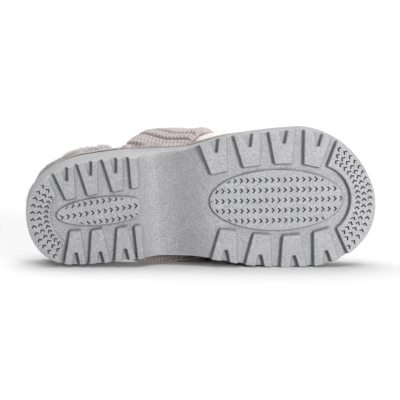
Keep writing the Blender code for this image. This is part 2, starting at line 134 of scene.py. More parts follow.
def latticeNoise(u, v, size, seed):
    # Random values from -1 to 1 at the corners of squares of the given size, eased from corner to corner
    table = np.random.default_rng(seed).uniform(-1, 1, (97, 89))
    a, b = np.broadcast_arrays(u / size, v / size)
    i, j = np.floor(a).astype(int), np.floor(b).astype(int)
    fa, fb = ease(a - i, 0, 1), ease(b - j, 0, 1)
    near, far = [table[row % 97, j % 89] * (1 - fb) + table[row % 97, (j + 1) % 89] * fb
                 for row in (i, i + 1)]
    return near * (1 - fa) + far * fa


def lumps(u, v, layers):
    # Sum of layers of noise, each with its depth, the size of its squares and its seed
    return sum(depth * latticeNoise(u, v, size, seed) for depth, size, seed in layers)


def signedPower(value, power):  # of the size, with the sign kept
    return np.sign(value) * np.abs(value) ** power


def gridNormals(grid, middle):
    # Cross product of the two directions of a grid, turned away from its middle
    normal = unit(np.cross(np.gradient(grid, axis=0), np.gradient(grid, axis=1)))
    return normal * np.sign(np.sum(normal * (grid - np.array(middle))))


def outwardOf(path, run, middle):
    # Square to the run of a path in the plan, and away from its middle
    run = unit(run)
    outward = np.stack([run[:, 1], -run[:, 0]], axis=1)
    return outward * np.sign(np.sum(outward * (path - np.array(middle))))


def runLength(points):
    # Length along rows of points from the first one
    steps = np.linalg.norm(np.diff(points, axis=0), axis=-1)
    return np.concatenate([np.zeros((1, *steps.shape[1:])), np.cumsum(steps, axis=0)])


def sampleGrid(grid, row, column):
    # Values of a grid at fractional rows and columns, weighted from the four around
    i = np.clip(np.floor(row).astype(int), 0, grid.shape[0] - 2)
    j = np.clip(np.floor(column).astype(int), 0, grid.shape[1] - 2)
    a, b = (row - i)[:, None], (column - j)[:, None]
    near, far = [grid[line, j] * (1 - b) + grid[line, j + 1] * b for line in (i, i + 1)]
    return near * (1 - a) + far * a


def scatterOn(grid, normals, count, seed, weight=None):
    # Random places on a grid, as many on equal areas, with their normals and both directions of the grid
    rng = np.random.default_rng(seed)
    area = np.linalg.norm(np.cross(np.diff(grid, axis=0)[:, :-1], np.diff(grid, axis=1)[:-1]), axis=2)
    if weight is not None:
        area = area * weight[:-1, :-1]
    cell = rng.choice(area.size, count, p=area.ravel() / area.sum())
    row = cell // area.shape[1] + rng.uniform(0, 1, count)
    column = cell % area.shape[1] + rng.uniform(0, 1, count)
    fields = normals, np.gradient(grid, axis=0), np.gradient(grid, axis=1)
    return sampleGrid(grid, row, column), [unit(sampleGrid(field, row, column)) for field in fields], rng


def makePile(name, slot, pile, roots, normals, lean, rng):
    # Tufts: three-sided spikes of two joints, from a triangle under the surface, bent over along lean, to a
    # tip. Those that are not bent have one joint and are straight.
    count = len(roots)
    length = pile["length"] * rng.uniform(*pile["lengths"], count)[:, None]
    across = unit(np.cross(normals, lean))
    spin = rng.uniform(0, 2 * math.pi, count)[:, None]
    first = lean * np.cos(spin) + across * np.sin(spin)
    second = np.cross(normals, first)
    corners = [first, -0.5 * first + 0.866 * second, -0.5 * first - 0.866 * second]
    low = roots - normals * pile["sink"]
    middle = roots + normals * length * 0.5 + lean * length * 0.22
    tip = roots + normals * length * 0.78 + lean * length * 0.7
    rings = [low + corner * pile["width"] * 0.5 for corner in corners]
    heights, sides = [0, 0, 0, 1.0], [(0, 2, 1), (0, 1, 3), (1, 2, 3), (2, 0, 3)]
    if pile["bent"]:
        rings += [middle + corner * pile["width"] * 0.42 for corner in corners]
        heights = [0, 0, 0, 0.6, 0.6, 0.6, 1.0]
        sides = [(0, 2, 1), (0, 1, 3), (1, 4, 3), (1, 2, 4), (2, 5, 4), (2, 0, 5), (0, 3, 5),
                 (3, 4, 6), (4, 5, 6), (5, 3, 6)]
    points = np.stack([*rings, tip], axis=1).reshape(-1, 3)
    faces = (np.arange(count)[:, None, None] * len(heights) + np.array(sides)[None]).reshape(-1, 3)
    # reach rises from 0 at the root to 1 at the tip; the material paints shade towards the root
    values = {"reach": np.tile(heights, count), "tone": np.repeat(rng.uniform(0, 1, count), len(heights))}
    material = pileMaterial(name + "Paint", pile["colour"])
    finishPiece(makeMesh(name, points, [faces], material, values), slot)


def makeMesh(name, points, faces, material, values, merge=0.0):
    # faces is a list of face arrays, points are in shoe millimetres, values are kept as point attributes.
    # The signed volume under the faces, a sum of triple products, shows whether they all need turning round.
    points = np.asarray(points, float).reshape(-1, 3)
    parts = [np.asarray(part) for part in faces]
    volume = 0.0
    for part in parts:
        for corner in range(1, part.shape[1] - 1):
            a, b, c = points[part[:, 0]], points[part[:, corner]], points[part[:, corner + 1]]
            volume += np.sum(a * np.cross(b, c))
    turned = [part if volume > 0 else part[:, ::-1] for part in parts]
    mesh = bpy.data.meshes.new(name)
    placed = toWorld(points)
    placed[:, 2] = np.maximum(placed[:, 2], 0.0)  # the floor stops soft pieces
    mesh.from_pydata(placed.tolist(), [], [face for part in turned for face in part.tolist()])
    for key, value in values.items():
        kept = mesh.attributes.new(key, "FLOAT", "POINT")
        kept.data.foreach_set("value", np.ravel(value).astype(np.float32))
    if merge:
        work = bmesh.new()
        work.from_mesh(mesh)
        bmesh.ops.remove_doubles(work, verts=work.verts, dist=merge * 0.001)
        work.to_mesh(mesh)
        work.free()
    mesh.shade_smooth()
    mesh.materials.append(material)
    piece = bpy.data.objects.new(name, mesh)
    scene.collection.objects.link(piece)
    return piece


def finishPiece(piece, slot, *nodes):
    # nodes are the ones that the piece is drawn in place of
    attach(piece, "root")
    if nodes:
        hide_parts(*nodes)
    print("made", piece.name, len(piece.data.polygons), "faces")


# Materials

class Wire:
    # A socket that arithmetic works on: each operation adds one Math node
    def __init__(self, paint, socket):
        self.paint, self.socket = paint, socket

    def math(self, operation, first, second):
        return self.paint.add("ShaderNodeMath", {"operation": operation}, {0: first, 1: second})

    def __add__(self, other):
        return self.math("ADD", self, other)

    def __sub__(self, other):
        return self.math("SUBTRACT", self, other)

    def __rsub__(self, other):
        return self.math("SUBTRACT", other, self)

    def __mul__(self, other):
        return self.math("MULTIPLY", self, other)

    __radd__, __rmul__ = __add__, __mul__


class Nodes:
    # A node tree, and the shader in it whose sockets feed() sets or links by name
    def __init__(self, tree, shader):
        self.tree = tree
        self.shader = tree.nodes[shader]

    def add(self, kind, settings, inputs, output=0):
        # A new node with its settings and inputs, which stands for one of its outputs
        node = self.tree.nodes.new(kind)
        for key, value in settings.items():
            setattr(node, key, value)
        for key, value in inputs.items():
            self.put(node.inputs[key], value)
        return Wire(self, node.outputs[output])

    def put(self, socket, value):
        # Links a Wire, or sets a plain value; a colour gets full alpha
        if isinstance(value, Wire):
            self.tree.links.new(value.socket, socket)
        else:
            socket.default_value = (*value, 1) if socket.type == "RGBA" else value

    def feed(self, socket, value):
        self.put(self.shader.inputs[socket], value)

    def place(self):
        # Object coordinates in millimetres
        place = self.add("ShaderNodeTexCoord", {}, {}, "Object")
        return self.add("ShaderNodeVectorMath", {"operation": "SCALE"}, {0: place, "Scale": 1000.0})

    def value(self, name):
        # A value kept with the mesh's points
        return self.add("ShaderNodeAttribute", {"attribute_name": name}, {}, "Fac")

    def noise(self, place, size, detail, roughness):
        # size is the width of one blotch, in millimetres
        inputs = {"Vector": place, "Scale": 1.0 / size, "Detail": detail, "Roughness": roughness}
        return self.add("ShaderNodeTexNoise", {}, inputs)

    def blend(self, factor, first, second):
        # Sockets 0, 6 and 7 of a Mix node are its factor and two colours, and output 2 is the mixed colour
        settings = {"data_type": "RGBA", "clamp_factor": True}
        return self.add("ShaderNodeMix", settings, {0: factor, 6: first, 7: second}, 2)

    def shades(self, factor, low, high, tint):  # a blend between two display levels
        return self.blend(factor, grey(low, tint), grey(high, tint))

    def bump(self, height, depth):
        # depth in millimetres for a height of 1
        inputs = {"Height": height, "Distance": 0.001 * depth, "Strength": 1.0}
        return self.add("ShaderNodeBump", {}, inputs)


class Paint(Nodes):
    # A material, with the values that are the same all over it; spread is how rough its sheen is
    def __init__(self, name, roughness, specular, sheen=0.0, spread=0.5):
        self.material = bpy.data.materials.new(name)
        self.material.use_nodes = True
        super().__init__(self.material.node_tree, "Principled BSDF")
        self.feed("Roughness", roughness)
        self.feed("Specular IOR Level", specular)
        self.feed("Sheen Weight", sheen)
        self.feed("Sheen Roughness", spread)


def grey(level, tint=(0, 0, 0)):
    # Linear colour of a display level from 0 to 255, with a tint added to it in levels
    shown = (level + np.array(tint)) / 255
    linear = np.where(shown > 0.04045, ((shown + 0.055) / 1.055) ** 2.4, shown / 12.92)
    return tuple(float(value) for value in linear)


# Sole
soleShape = {
    "length": 265.2,
    "heelReach": {-1: 46.0, 1: 36.0}, "heelPower": {-1: 1.87, 1: 2.3},  # rounding of the two sides
    "toeReach": {-1: 56.0, 1: 55.0}, "toePower": {-1: 1.88, 1: 2.05},
    "toeSpring": 8.0, "springStart": 215.0, "heelBevel": 1.2, "bevelEnd": 20.0,
    "swell": 0.6, "lugHeight": 4.2, "ovalHeight": 2.0, "breast": 86.6,
    "edgeRound": 0.8, "rimRound": 1.2, "capInset": 6.0, "cornerRound": 0.8, "notchRound": 0.5,
    # recessShade is painted shade over all the tread floor between the raised figures
    "sharpAngle": 38.0, "heelwardEnds": (60.0, 230.0), "recessShade": 0.045,
    "pastEdge": 2.5, "outlineStep": 3.0, "planStep": 2.4,  # the lugs' overrun at the edge, and point spacings
    "edgeClear": 1.5, "wallClear": 0.6, "markClear": 2.5, "wallRings": 12,  # room round edge, walls, chevrons
    # paintedShadeTones are the dark tones of the painted shade in the tread
    "toeward": (132, 175), "heelward": (119, 162), "tint": (0, 0, 2), "paintedShadeTones": (52, 76),
}
soleRows = {
    "x": [0, 36, 60, 76, 97, 112, 127, 138, 150, 164, 190, 216, 241, 255, 266],
    "centre": [4.3, 5.6, 4.6, 3.7, 4.9, 5.1, 3.5, 2.3, 2.1, 3.0, 4.3, 4.8, 6.4, 8.4, 11.0],
    "half": [38.2, 38.4, 39.4, 39.3, 38.2, 38.8, 41.4, 44.6, 47.6, 49.8, 52.1, 52.6, 52.6, 52.7, 53.2],
    "lateralFlare": [1.6, 1.6, 1.7, 1.9, 4.0, 3.6, 0, -2.0, -2.6, -1.8, -0.8, -0.6, -0.6, -0.8, -1.8],
    "medialFlare": [1.6, 1.6, 1.6, 1.4, 0.8, 0.4, -1, -2.0, -2.6, -2.4, -2.0, -1.8, -1.8, -1.8, -1.8],
    "rimZ": [37, 36.5, 36, 35.4, 33.4, 31.2, 29, 27.8, 27, 26.3, 25.8, 26.6, 29, 30.8, 32],
}
archRows = {
    "x": [86.6, 90, 94, 98.5, 104, 112, 121, 130, 137, 142],
    "lift": [0, 5.4, 9.6, 11.9, 12.4, 10.9, 7.2, 3.0, 0.7, 0],
}
# Wedge lugs: x of the middle and width at the outer end, the same at the inner end, y of the inner end, its
# slant, and how far in the notch in the outer end goes
lugRows = [
    (31.0, 15.0, 34.8, 6.8, -6.7, -0.16, 9.8), (49.6, 15.2, 51.5, 7.0, -9.0, -0.14, 10.8),
    (68.6, 15.0, 70.7, 7.3, -10.5, -0.14, 11.6), (34.3, 15.8, 36.3, 7.5, 18.4, 0.05, 9.3),
    (53.2, 15.6, 52.7, 7.6, 18.5, -0.12, 9.0), (72.4, 15.2, 72.0, 7.2, 18.0, -0.14, 9.2),
    (144.9, 20.0, 148.1, 11.8, -19.3, -0.14, 10.1), (170.9, 19.6, 172.8, 12.2, -22.7, -0.08, 10.2),
    (197.3, 19.4, 196.7, 12.1, -23.1, 0.04, 10.2), (224.2, 19.2, 218.3, 11.5, -20.0, 0.28, 11.1),
    (147.5, 18.8, 152.0, 12.0, 25.6, 0.17, 9.0), (173.3, 19.6, 177.4, 12.1, 30.5, 0.15, 9.0),
    (199.7, 19.2, 199.7, 12.6, 32.6, -0.02, 9.2), (225.1, 18.8, 222.4, 11.2, 30.3, -0.20, 10.4),
]
halfLugRows = [(81.0, 81.4, -11.6, -0.10), (82.5, 81.5, 17.8, -0.13)]
# Crescents: middle and radius of the arc, its two end angles, where the end edges meet the tread's edge, and
# an x far outside it
crescentRows = [
    {"arc": (45.3, 6.0, 27.2), "ends": (216.5, 131.0), "sides": ((15.0, -31.0), (21.5, 44.5)), "far": -20},
    {"arc": (219.0, 6.5, 27.7), "ends": (-66.0, 55.5), "sides": ((239, -38), (241.8, 48.4)), "far": 285.2},
]
# Ovals: middle, half length, half width, turn in degrees, and the x where the sole cuts it off
ovalRows = [(58.0, 4.4, 35.0, 10.4, -2.2, 86.6), (190.0, 4.8, 50.4, 23.0, 2.4, 265.2)]
# Walls of the raised figures: how far out from the outline, the share of the height left there, the painted
# shade there, and how much less of it there is where the wall faces the toe and the light
lugWall = {
    "out": [-0.42, -0.2, -0.04, 0.1, 0.98, 1.15, 1.4, 2.4], "share": [1, 0.985, 0.94, 0.88, 0.1, 0.03, 0, 0],
    "paintedShade": [0, 0, 0.02, 0.08, 0.52, 0.56, 0.34, 0], "litWallSpared": 0.85,
}
ovalWall = {
    "out": [-0.45, -0.2, 0.0, 0.1, 0.5, 0.65, 0.9, 2.0], "share": [1, 0.97, 0.89, 0.8, 0.15, 0.05, 0, 0],
    "paintedShade": [0, 0, 0.05, 0.15, 0.5, 0.52, 0.34, 0], "litWallSpared": 0.4,
}


def treadGround(x):
    # Flat, with a parabola up to the toe and a slight one up at the back of the heel
    shape = soleShape
    spring = np.clip((x - shape["springStart"]) / (shape["length"] - shape["springStart"]), 0, None) ** 2
    bevel = np.clip((shape["bevelEnd"] - x) / shape["bevelEnd"], 0, None) ** 2
    return shape["toeSpring"] * spring + shape["heelBevel"] * bevel


def treadFloor(x):
    # The foam between the lugs: over the ground by their height, and higher through the arch
    return treadGround(x) + soleShape["lugHeight"] + smoothLine(archRows, "lift", x)


def soleSide(x, side, out, heelOut, toeOut):
    # y of one side of the outline grown by out: half the width, times a superelliptic end at heel and toe,
    # from the middle line. side is -1 beside the little toe or 1 beside the big toe, and may be an array.
    shape = soleShape
    low = np.asarray(side) < 0
    ends = []
    for end, distance in (("heel", x + heelOut), ("toe", shape["length"] + toeOut - x)):
        reach, power = shape[end + "Reach"], shape[end + "Power"]
        ends.append(np.where(low, roundedEnd(distance, reach[-1], power[-1]),
                             roundedEnd(distance, reach[1], power[1])))
    half = (smoothLine(soleRows, "half", x) + out) * ends[0] * ends[1]
    return smoothLine(soleRows, "centre", x) + np.where(low, -1, 1) * half


def rimOut(x, side, inset=0.0):
    # How far the rim stands out past the tread's edge
    low = smoothLine(soleRows, "lateralFlare", x)
    return np.where(np.asarray(side) < 0, low, smoothLine(soleRows, "medialFlare", x)) - inset


def endOut(x, inset=0.0):  # the same at the heel or the toe, as one number
    return float(rimOut(x, -1, inset))


def rimZ(x):  # height of the rim
    return smoothLine(soleRows, "rimZ", x)


def grown(outline, amount):
    # Every edge of a polygon moved out by amount, with mitred corners
    along = unit(np.roll(outline, -1, axis=0) - outline)
    area = np.sum(outline[:, 0] * np.roll(outline[:, 1], -1) - np.roll(outline[:, 0], -1) * outline[:, 1])
    outward = np.stack([along[:, 1], -along[:, 0]], axis=1) * np.sign(area)
    before = np.roll(outward, 1, axis=0)
    meeting = (before + outward) / (1 + np.sum(before * outward, axis=1))[:, None]
    return outline + meeting * amount


def softened(outline, radii):
    # Each corner becomes a parabola that starts radius before it, and long edges get points between
    outline = np.asarray(outline, float)
    pieces = []
    t = np.linspace(0, 1, 6)[:, None]
    for i, radius in enumerate(radii):
        before, corner, after = outline[i - 1], outline[i], outline[(i + 1) % len(outline)]
        if radius == 0:
            bend = corner[None]
        else:
            start = corner + (before - corner) * radius / np.linalg.norm(before - corner)
            end = corner + (after - corner) * radius / np.linalg.norm(after - corner)
            bend = (1 - t) ** 2 * start + 2 * t * (1 - t) * corner + t**2 * end
        back = bend[-1] - after
        stop = after + back / np.linalg.norm(back) * radii[(i + 1) % len(outline)]
        count = int(np.linalg.norm(stop - bend[-1]) / soleShape["outlineStep"])
        steps = np.linspace(0, 1, count + 2)[1:-1, None]
        pieces += [bend, bend[-1] + (stop - bend[-1]) * steps]
    return np.concatenate(pieces)


def edgeY(x, side):  # the tread's edge, as one number
    return float(soleSide(x, side, 0, 0, 0))


def lugOutline(row):
    # A wedge from past the tread's edge inwards, with a tapered notch in its outer end
    outerX, outerWidth, innerX, innerWidth, innerY, slant, notchDepth = row
    past = soleShape["pastEdge"]
    side = 1 if innerY > 0 else -1
    edge = edgeY(outerX, side)
    back, front = [], []
    notchSlope = (innerX - outerX) / (innerY - edge) * 0.6
    notchX, notchY = outerX + 0.04 * outerWidth, edge - side * notchDepth
    for share, corners in ((-0.5, back), (0.5, front)):
        x = innerX + share * innerWidth
        inner = np.array([x, innerY + slant * (x - innerX)])
        x = outerX + share * outerWidth
        outer = np.array([x, edgeY(x, side)])
        away = (outer - inner) / np.linalg.norm(outer - inner)
        notchIn = np.array([notchX + share * 3.0 + notchSlope * (notchY - edge), notchY])
        notchOut = np.array([notchX + share * 0.4 * outerWidth, edge])
        beyond = outer[1] + away[1] * past + 0.3 * side
        reach = (beyond - notchIn[1]) / (notchOut[1] - notchIn[1])
        corners += [inner, outer + away * past, notchIn + (notchOut - notchIn) * reach, notchIn]
    inside, notch = soleShape["cornerRound"], soleShape["notchRound"]
    return softened([*back, *front[::-1]], [inside, 0, 0, notch, notch, 0, 0, inside])


def halfLugOutline(row):
    # A wedge that the heel breast cuts off
    outerX, innerX, innerY, slant = row
    side = 1 if innerY > 0 else -1
    breast, past = soleShape["breast"], soleShape["pastEdge"] * side
    outline = [(innerX, innerY), (outerX, edgeY(outerX, side) + past),
               (breast, edgeY(breast, side) + past), (breast, innerY + slant * (breast - innerX))]
    return softened(outline, [1.0, 0, 0, soleShape["cornerRound"]])


def crescentOutline(row):
    # An arc round the inside, with ends run on past the tread's edge and closed far outside it
    x, y, radius = row["arc"]
    angles = np.radians(np.linspace(*row["ends"], 48))
    arc = np.stack([x + radius * np.cos(angles), y + radius * np.sin(angles)], axis=1)
    first, last = [end + (np.array(edge) - end) * 1.25 for end, edge in zip(arc[[0, -1]], row["sides"])]
    corner = soleShape["cornerRound"]
    outline = [first, *arc, last, (row["far"], last[1] + 8), (row["far"], first[1] - 8)]
    return softened(outline, [0, corner, *([0] * (len(arc) - 2)), corner, 0, 0, 0])


def lineAt(x, y, turn, along, across):
    # Points of the plan along a line through x, y at an angle, and across it
    return np.stack([x + along * math.cos(turn) - across * math.sin(turn),
                     y + along * math.sin(turn) + across * math.cos(turn)], axis=1)


def ovalOutline(row):
    # A turned ellipse, cut off straight where it meets the front of its part of the sole
    x, y, longHalf, shortHalf, turn, front = row
    angle = np.linspace(0, 2 * math.pi, 140, endpoint=False)
    outline = lineAt(x, y, math.radians(turn), longHalf * np.cos(angle), shortHalf * np.sin(angle))
    keep = outline[:, 0] < front - 0.5
    if keep.all():
        return outline
    first = int(np.argmax(~keep))
    kept = np.roll(outline, -first, axis=0)[np.roll(keep, -first)]
    ends = np.array([[front - 0.4, kept[-1, 1]], [front - 0.4, kept[0, 1]]])
    return np.concatenate([kept, ends])


def distanceTo(points, outline):
    # Signed distance from points to a polygon, or to one polygon each, negative inside it
    start = outline if outline.ndim == 3 else outline[None]
    end = np.roll(start, -1, axis=1)
    run = end - start
    offset = points[:, None] - start
    along = np.clip(np.sum(offset * run, axis=2) / np.sum(run * run, axis=2), 0, 1)
    nearest = np.sqrt(np.min(np.sum((offset - along[..., None] * run) ** 2, axis=2), axis=1))
    y = points[:, None, 1]
    slope = run[..., 0] / np.where(run[..., 1] == 0, 1, run[..., 1])
    crossed = ((start[..., 1] > y) != (end[..., 1] > y)) & (
        points[:, None, 0] < start[..., 0] + (y - start[..., 1]) * slope)
    inside = np.sum(crossed, axis=1) % 2 == 1
    return np.where(inside, -nearest, nearest)


treadMarks = {
    "halfWidth": 2.15, "tip": 1.45, "stroke": 1.1, "depth": 1.3, "slope": 0.14, "clearance": 0.7,
    "inside": 0.4,  # how far inside its figure the middle of a chevron lies at least
    "pitch": 4.72, "rowPitch": 7.75, "ovalRows": (1, 2), "ovalTurn": (-3.1, 0.0),
}
# Each arc of chevrons: the crescent it is on, its middle and radius, its first angle, its step and its count
markArcs = [
    (0, 42.2, 6.5, 37.3, 229.9, -8.48, 13), (0, 41.3, 6.6, 31.4, 222.8, -8.6, 12),
    (0, 42.4, 6.7, 27.3, 215.0, -8.04, 12), (1, 215.5, 7.7, 45.6, -58.6, 6.56, 18),
    (1, 217.8, 6.9, 38.7, -58.9, 6.91, 17), (1, 218.4, 6.4, 33.5, -57.0, 7.17, 16),
]


def chevron(centres, headings):
    # One outline of six corners at every centre: two strokes at 45 degrees that meet in a tip
    m = treadMarks
    back, cut = m["tip"] - m["halfWidth"], m["stroke"] / math.sqrt(2)
    local = np.array([(back - cut, m["halfWidth"] - cut), (back, m["halfWidth"]), (m["tip"], 0),
                      (back, -m["halfWidth"]), (back - cut, cut - m["halfWidth"]), (m["tip"] - 2 * cut, 0)])
    turn = np.stack([np.cos(headings), np.sin(headings)], axis=1)
    x = local[None, :, 0] * turn[:, :1] - local[None, :, 1] * turn[:, 1:]
    y = local[None, :, 0] * turn[:, 1:] + local[None, :, 1] * turn[:, :1]
    return np.stack([centres[:, :1] + x, centres[:, 1:] + y], axis=2)


def chevronPlaces():
    # Rows along each oval, and arcs round each crescent whose tips follow the arc towards the little-toe
    # side. The last value is the number of the raised figure that each lies in.
    m = treadMarks
    centres, headings, owners = [], [], []
    for number, (row, count) in enumerate(zip(ovalRows, m["ovalRows"])):
        x, y, _, _, turn, _ = row
        turn = math.radians(turn + m["ovalTurn"][number])
        steps = (np.arange(-14, 14) + 0.45) * m["pitch"]
        for line in range(-count, count + 1):
            centres.append(lineAt(x, y, turn, steps, line * m["rowPitch"]))
            headings.append(np.full(len(steps), turn))
            owners.append(np.full(len(steps), len(crescentRows) + number))
    for number, x, y, radius, first, step, count in markArcs:
        angles = np.radians(first + step * np.arange(count))
        centres.append(np.stack([x + radius * np.cos(angles), y + radius * np.sin(angles)], axis=1))
        headings.append(angles + math.pi / 2 * (1 if number == 0 else -1))
        owners.append(np.full(count, number))
    return np.concatenate(centres), np.concatenate(headings), np.concatenate(owners)


def sunkShare(points, marks, owners, outlines, boundary):
    # 1 on the floor of a chevron and 0 outside it, from the distance to the nearest one's outline, and fading
    # out before the edge of the figure that it is cut into
    m = treadMarks
    middle = marks.mean(axis=1)
    nearest = np.argmin(np.linalg.norm(points[:, None] - middle[None], axis=2), axis=1)
    share = np.clip(-distanceTo(points, marks[nearest]) / m["slope"], 0, 1)
    edge = np.full(len(points), 99.0)
    for number, outline in enumerate(outlines):
        mine = (owners[nearest] == number) & (share > 0)
        edge[mine] = distanceTo(points[mine], outline)
    inner = np.clip((-m["clearance"] - edge) / m["slope"], 0, 1)
    return share * inner * np.clip((-m["clearance"] - distanceTo(points, boundary)) / m["slope"], 0, 1)


def treadFeatures():
    # Every raised figure: its outline, its wall profile, and its height as a function of x
    def full(x):  # down to the ground
        return treadFloor(x) - treadGround(x)

    def low(x):  # the same all over
        return np.full_like(x, soleShape["ovalHeight"])

    kinds = ((lugOutline, lugRows, lugWall, full), (halfLugOutline, halfLugRows, lugWall, full),
             (crescentOutline, crescentRows, lugWall, full), (ovalOutline, ovalRows, ovalWall, low))
    return [(outline(row), wall, height) for outline, rows, wall, height in kinds for row in rows]


def reliefAt(points, figures):
    # How far each point of the plan stands out from the tread's floor, and how much shade is painted on it:
    # most at the foot of the walls, less where a wall faces the toe and the light, and a little on all the
    # floor
    relief, paintedShade, raised = np.zeros((3, len(points)))
    for outline, wall, height in figures:
        reach = max(wall["out"]) + 0.5
        near = np.all((points > outline.min(axis=0) - reach) & (points < outline.max(axis=0) + reach), axis=1)
        found = np.where(near)[0]
        distance = distanceTo(points[found], outline)
        share = np.interp(distance, wall["out"], wall["share"])
        relief[found] = np.maximum(relief[found], share * height(points[found, 0]))
        # a wall that faces the toe, towards the light, gets less painted shade
        forward = (distanceTo(points[found] + np.array([0.2, 0.0]), outline) - distance) / 0.2
        wallShade = np.interp(distance, wall["out"], wall["paintedShade"], left=0)
        paintedShade[found] = np.maximum(paintedShade[found], wallShade * (1 - wall["litWallSpared"] * np.clip(forward, 0, 1)))
        raised[found] = np.maximum(raised[found], share)
    breast = soleShape["breast"]
    paintedShade *= 1 - ease(points[:, 0], breast - 4, breast - 0.5) * (points[:, 0] < breast + 12)
    paintedShade = np.maximum(paintedShade, soleShape["recessShade"] * (1 - raised))
    return relief, paintedShade * (1 - raised * (raised > 0.9))


def planTriangles(boundary, rings, loose):
    # Constrained triangulation of the plan inside boundary, with rings kept as edges. It gives the points,
    # the triangles, and the number that each point had in boundary.
    edges = []
    count = len(boundary)
    for ring in rings:
        index = np.arange(len(ring)) + count
        edges += np.stack([index, np.roll(index, -1)], axis=1).tolist()
        count += len(ring)
    vectors = [Vector(point) for point in np.concatenate([boundary, *rings, loose]).tolist()]
    found = delaunay_2d_cdt(vectors, edges, [list(range(len(boundary)))], 1, 1e-5)
    points = np.array([tuple(point) for point in found[0]])
    triangles = np.array(found[2])
    triangles = triangles[distanceTo(points[triangles].mean(axis=1), boundary) < 0]
    used, index = np.unique(triangles, return_inverse=True)
    origin = np.array([ids[0] if ids else -1 for ids in found[3]])[used]
    return points[used], index.reshape(-1, 3), origin


def outlineOrder(points, boundary, triangles):
    # The outermost points, in order along the boundary
    ends = np.concatenate([triangles[:, [0, 1]], triangles[:, [1, 2]], triangles[:, [2, 0]]])
    pairs, count = np.unique(np.sort(ends, axis=1), axis=0, return_counts=True)
    outer = np.unique(pairs[count == 1])
    run = np.roll(boundary, -1, axis=0) - boundary
    offset = points[outer][:, None] - boundary
    along = np.clip(np.sum(offset * run, axis=2) / np.sum(run * run, axis=1), 0, 1)
    nearest = np.argmin(np.sum((offset - along[..., None] * run) ** 2, axis=2), axis=1)
    position = nearest + along[np.arange(len(outer)), nearest]
    return outer[np.argsort(position % len(boundary))]


def ringAt(inset, count):
    # The outline moved in by inset, as one closed loop: little-toe side out, big-toe side back
    x = crowded(inset, soleShape["length"] - inset, count)
    low, high = [np.stack([x, soleSide(x, side, -inset, -inset, -inset)], axis=1) for side in (-1, 1)]
    return np.concatenate([low, high[-2:0:-1]])


def keptChevrons(carved, boundary):
    # Those that lie well inside the figure they are cut into, and inside the tread's edge
    centres, headings, owners = chevronPlaces()
    inside = distanceTo(centres, boundary) < -soleShape["edgeClear"]
    for number, outline in enumerate(carved):
        mine = owners == number
        inside[mine] &= distanceTo(centres[mine], outline) < -treadMarks["inside"]
    return centres[inside], chevron(centres, headings)[inside], owners[inside]


def loosePoints(figures, boundary, centres):
    # A square grid, left out near the tread's edge, the walls of the figures and the chevrons
    shape = soleShape
    x = np.arange(1.0, shape["length"], shape["planStep"])
    x, y = np.meshgrid(x, np.arange(-52, 62, shape["planStep"]))
    loose = np.stack([x.ravel(), y.ravel()], axis=1)
    clear = distanceTo(loose, boundary) < -shape["edgeClear"]
    for outline, wall, _ in figures:
        edge = distanceTo(loose, outline)
        clear &= (edge < wall["out"][0] - shape["wallClear"]) | (edge > wall["out"][-1] + shape["wallClear"])
    away = np.linalg.norm(loose[:, None] - centres[None], axis=2).min(axis=1)
    return loose[clear & (away > shape["markClear"])]


def makeTread():
    # The plan triangulated along the offset outlines of every figure and chevron, then raised and sunk. It
    # gives the points, the triangles, the painted shade at each point, and the points on the edge in order.
    figures = treadFeatures()
    carved = [outline for outline, _, _ in figures[-4:]]
    boundary = ringAt(soleShape["edgeRound"], 150)
    centres, marks, owners = keptChevrons(carved, boundary)
    rings = [grown(outline, out) for outline, wall, _ in figures for out in wall["out"]]
    rings += [ring for mark in marks for ring in (mark, grown(mark, -treadMarks["slope"]))]
    plan, triangles, _ = planTriangles(boundary, rings, loosePoints(figures, boundary, centres))
    relief, paintedShade = reliefAt(plan, figures)
    sunk = sunkShare(plan, marks, owners, carved, boundary)
    tread = np.column_stack([plan, treadFloor(plan[:, 0]) - relief + treadMarks["depth"] * sunk])
    # the sunk floors of the chevrons get full painted shade as well
    return tread, triangles, np.maximum(paintedShade, sunk), outlineOrder(plan, boundary, triangles)


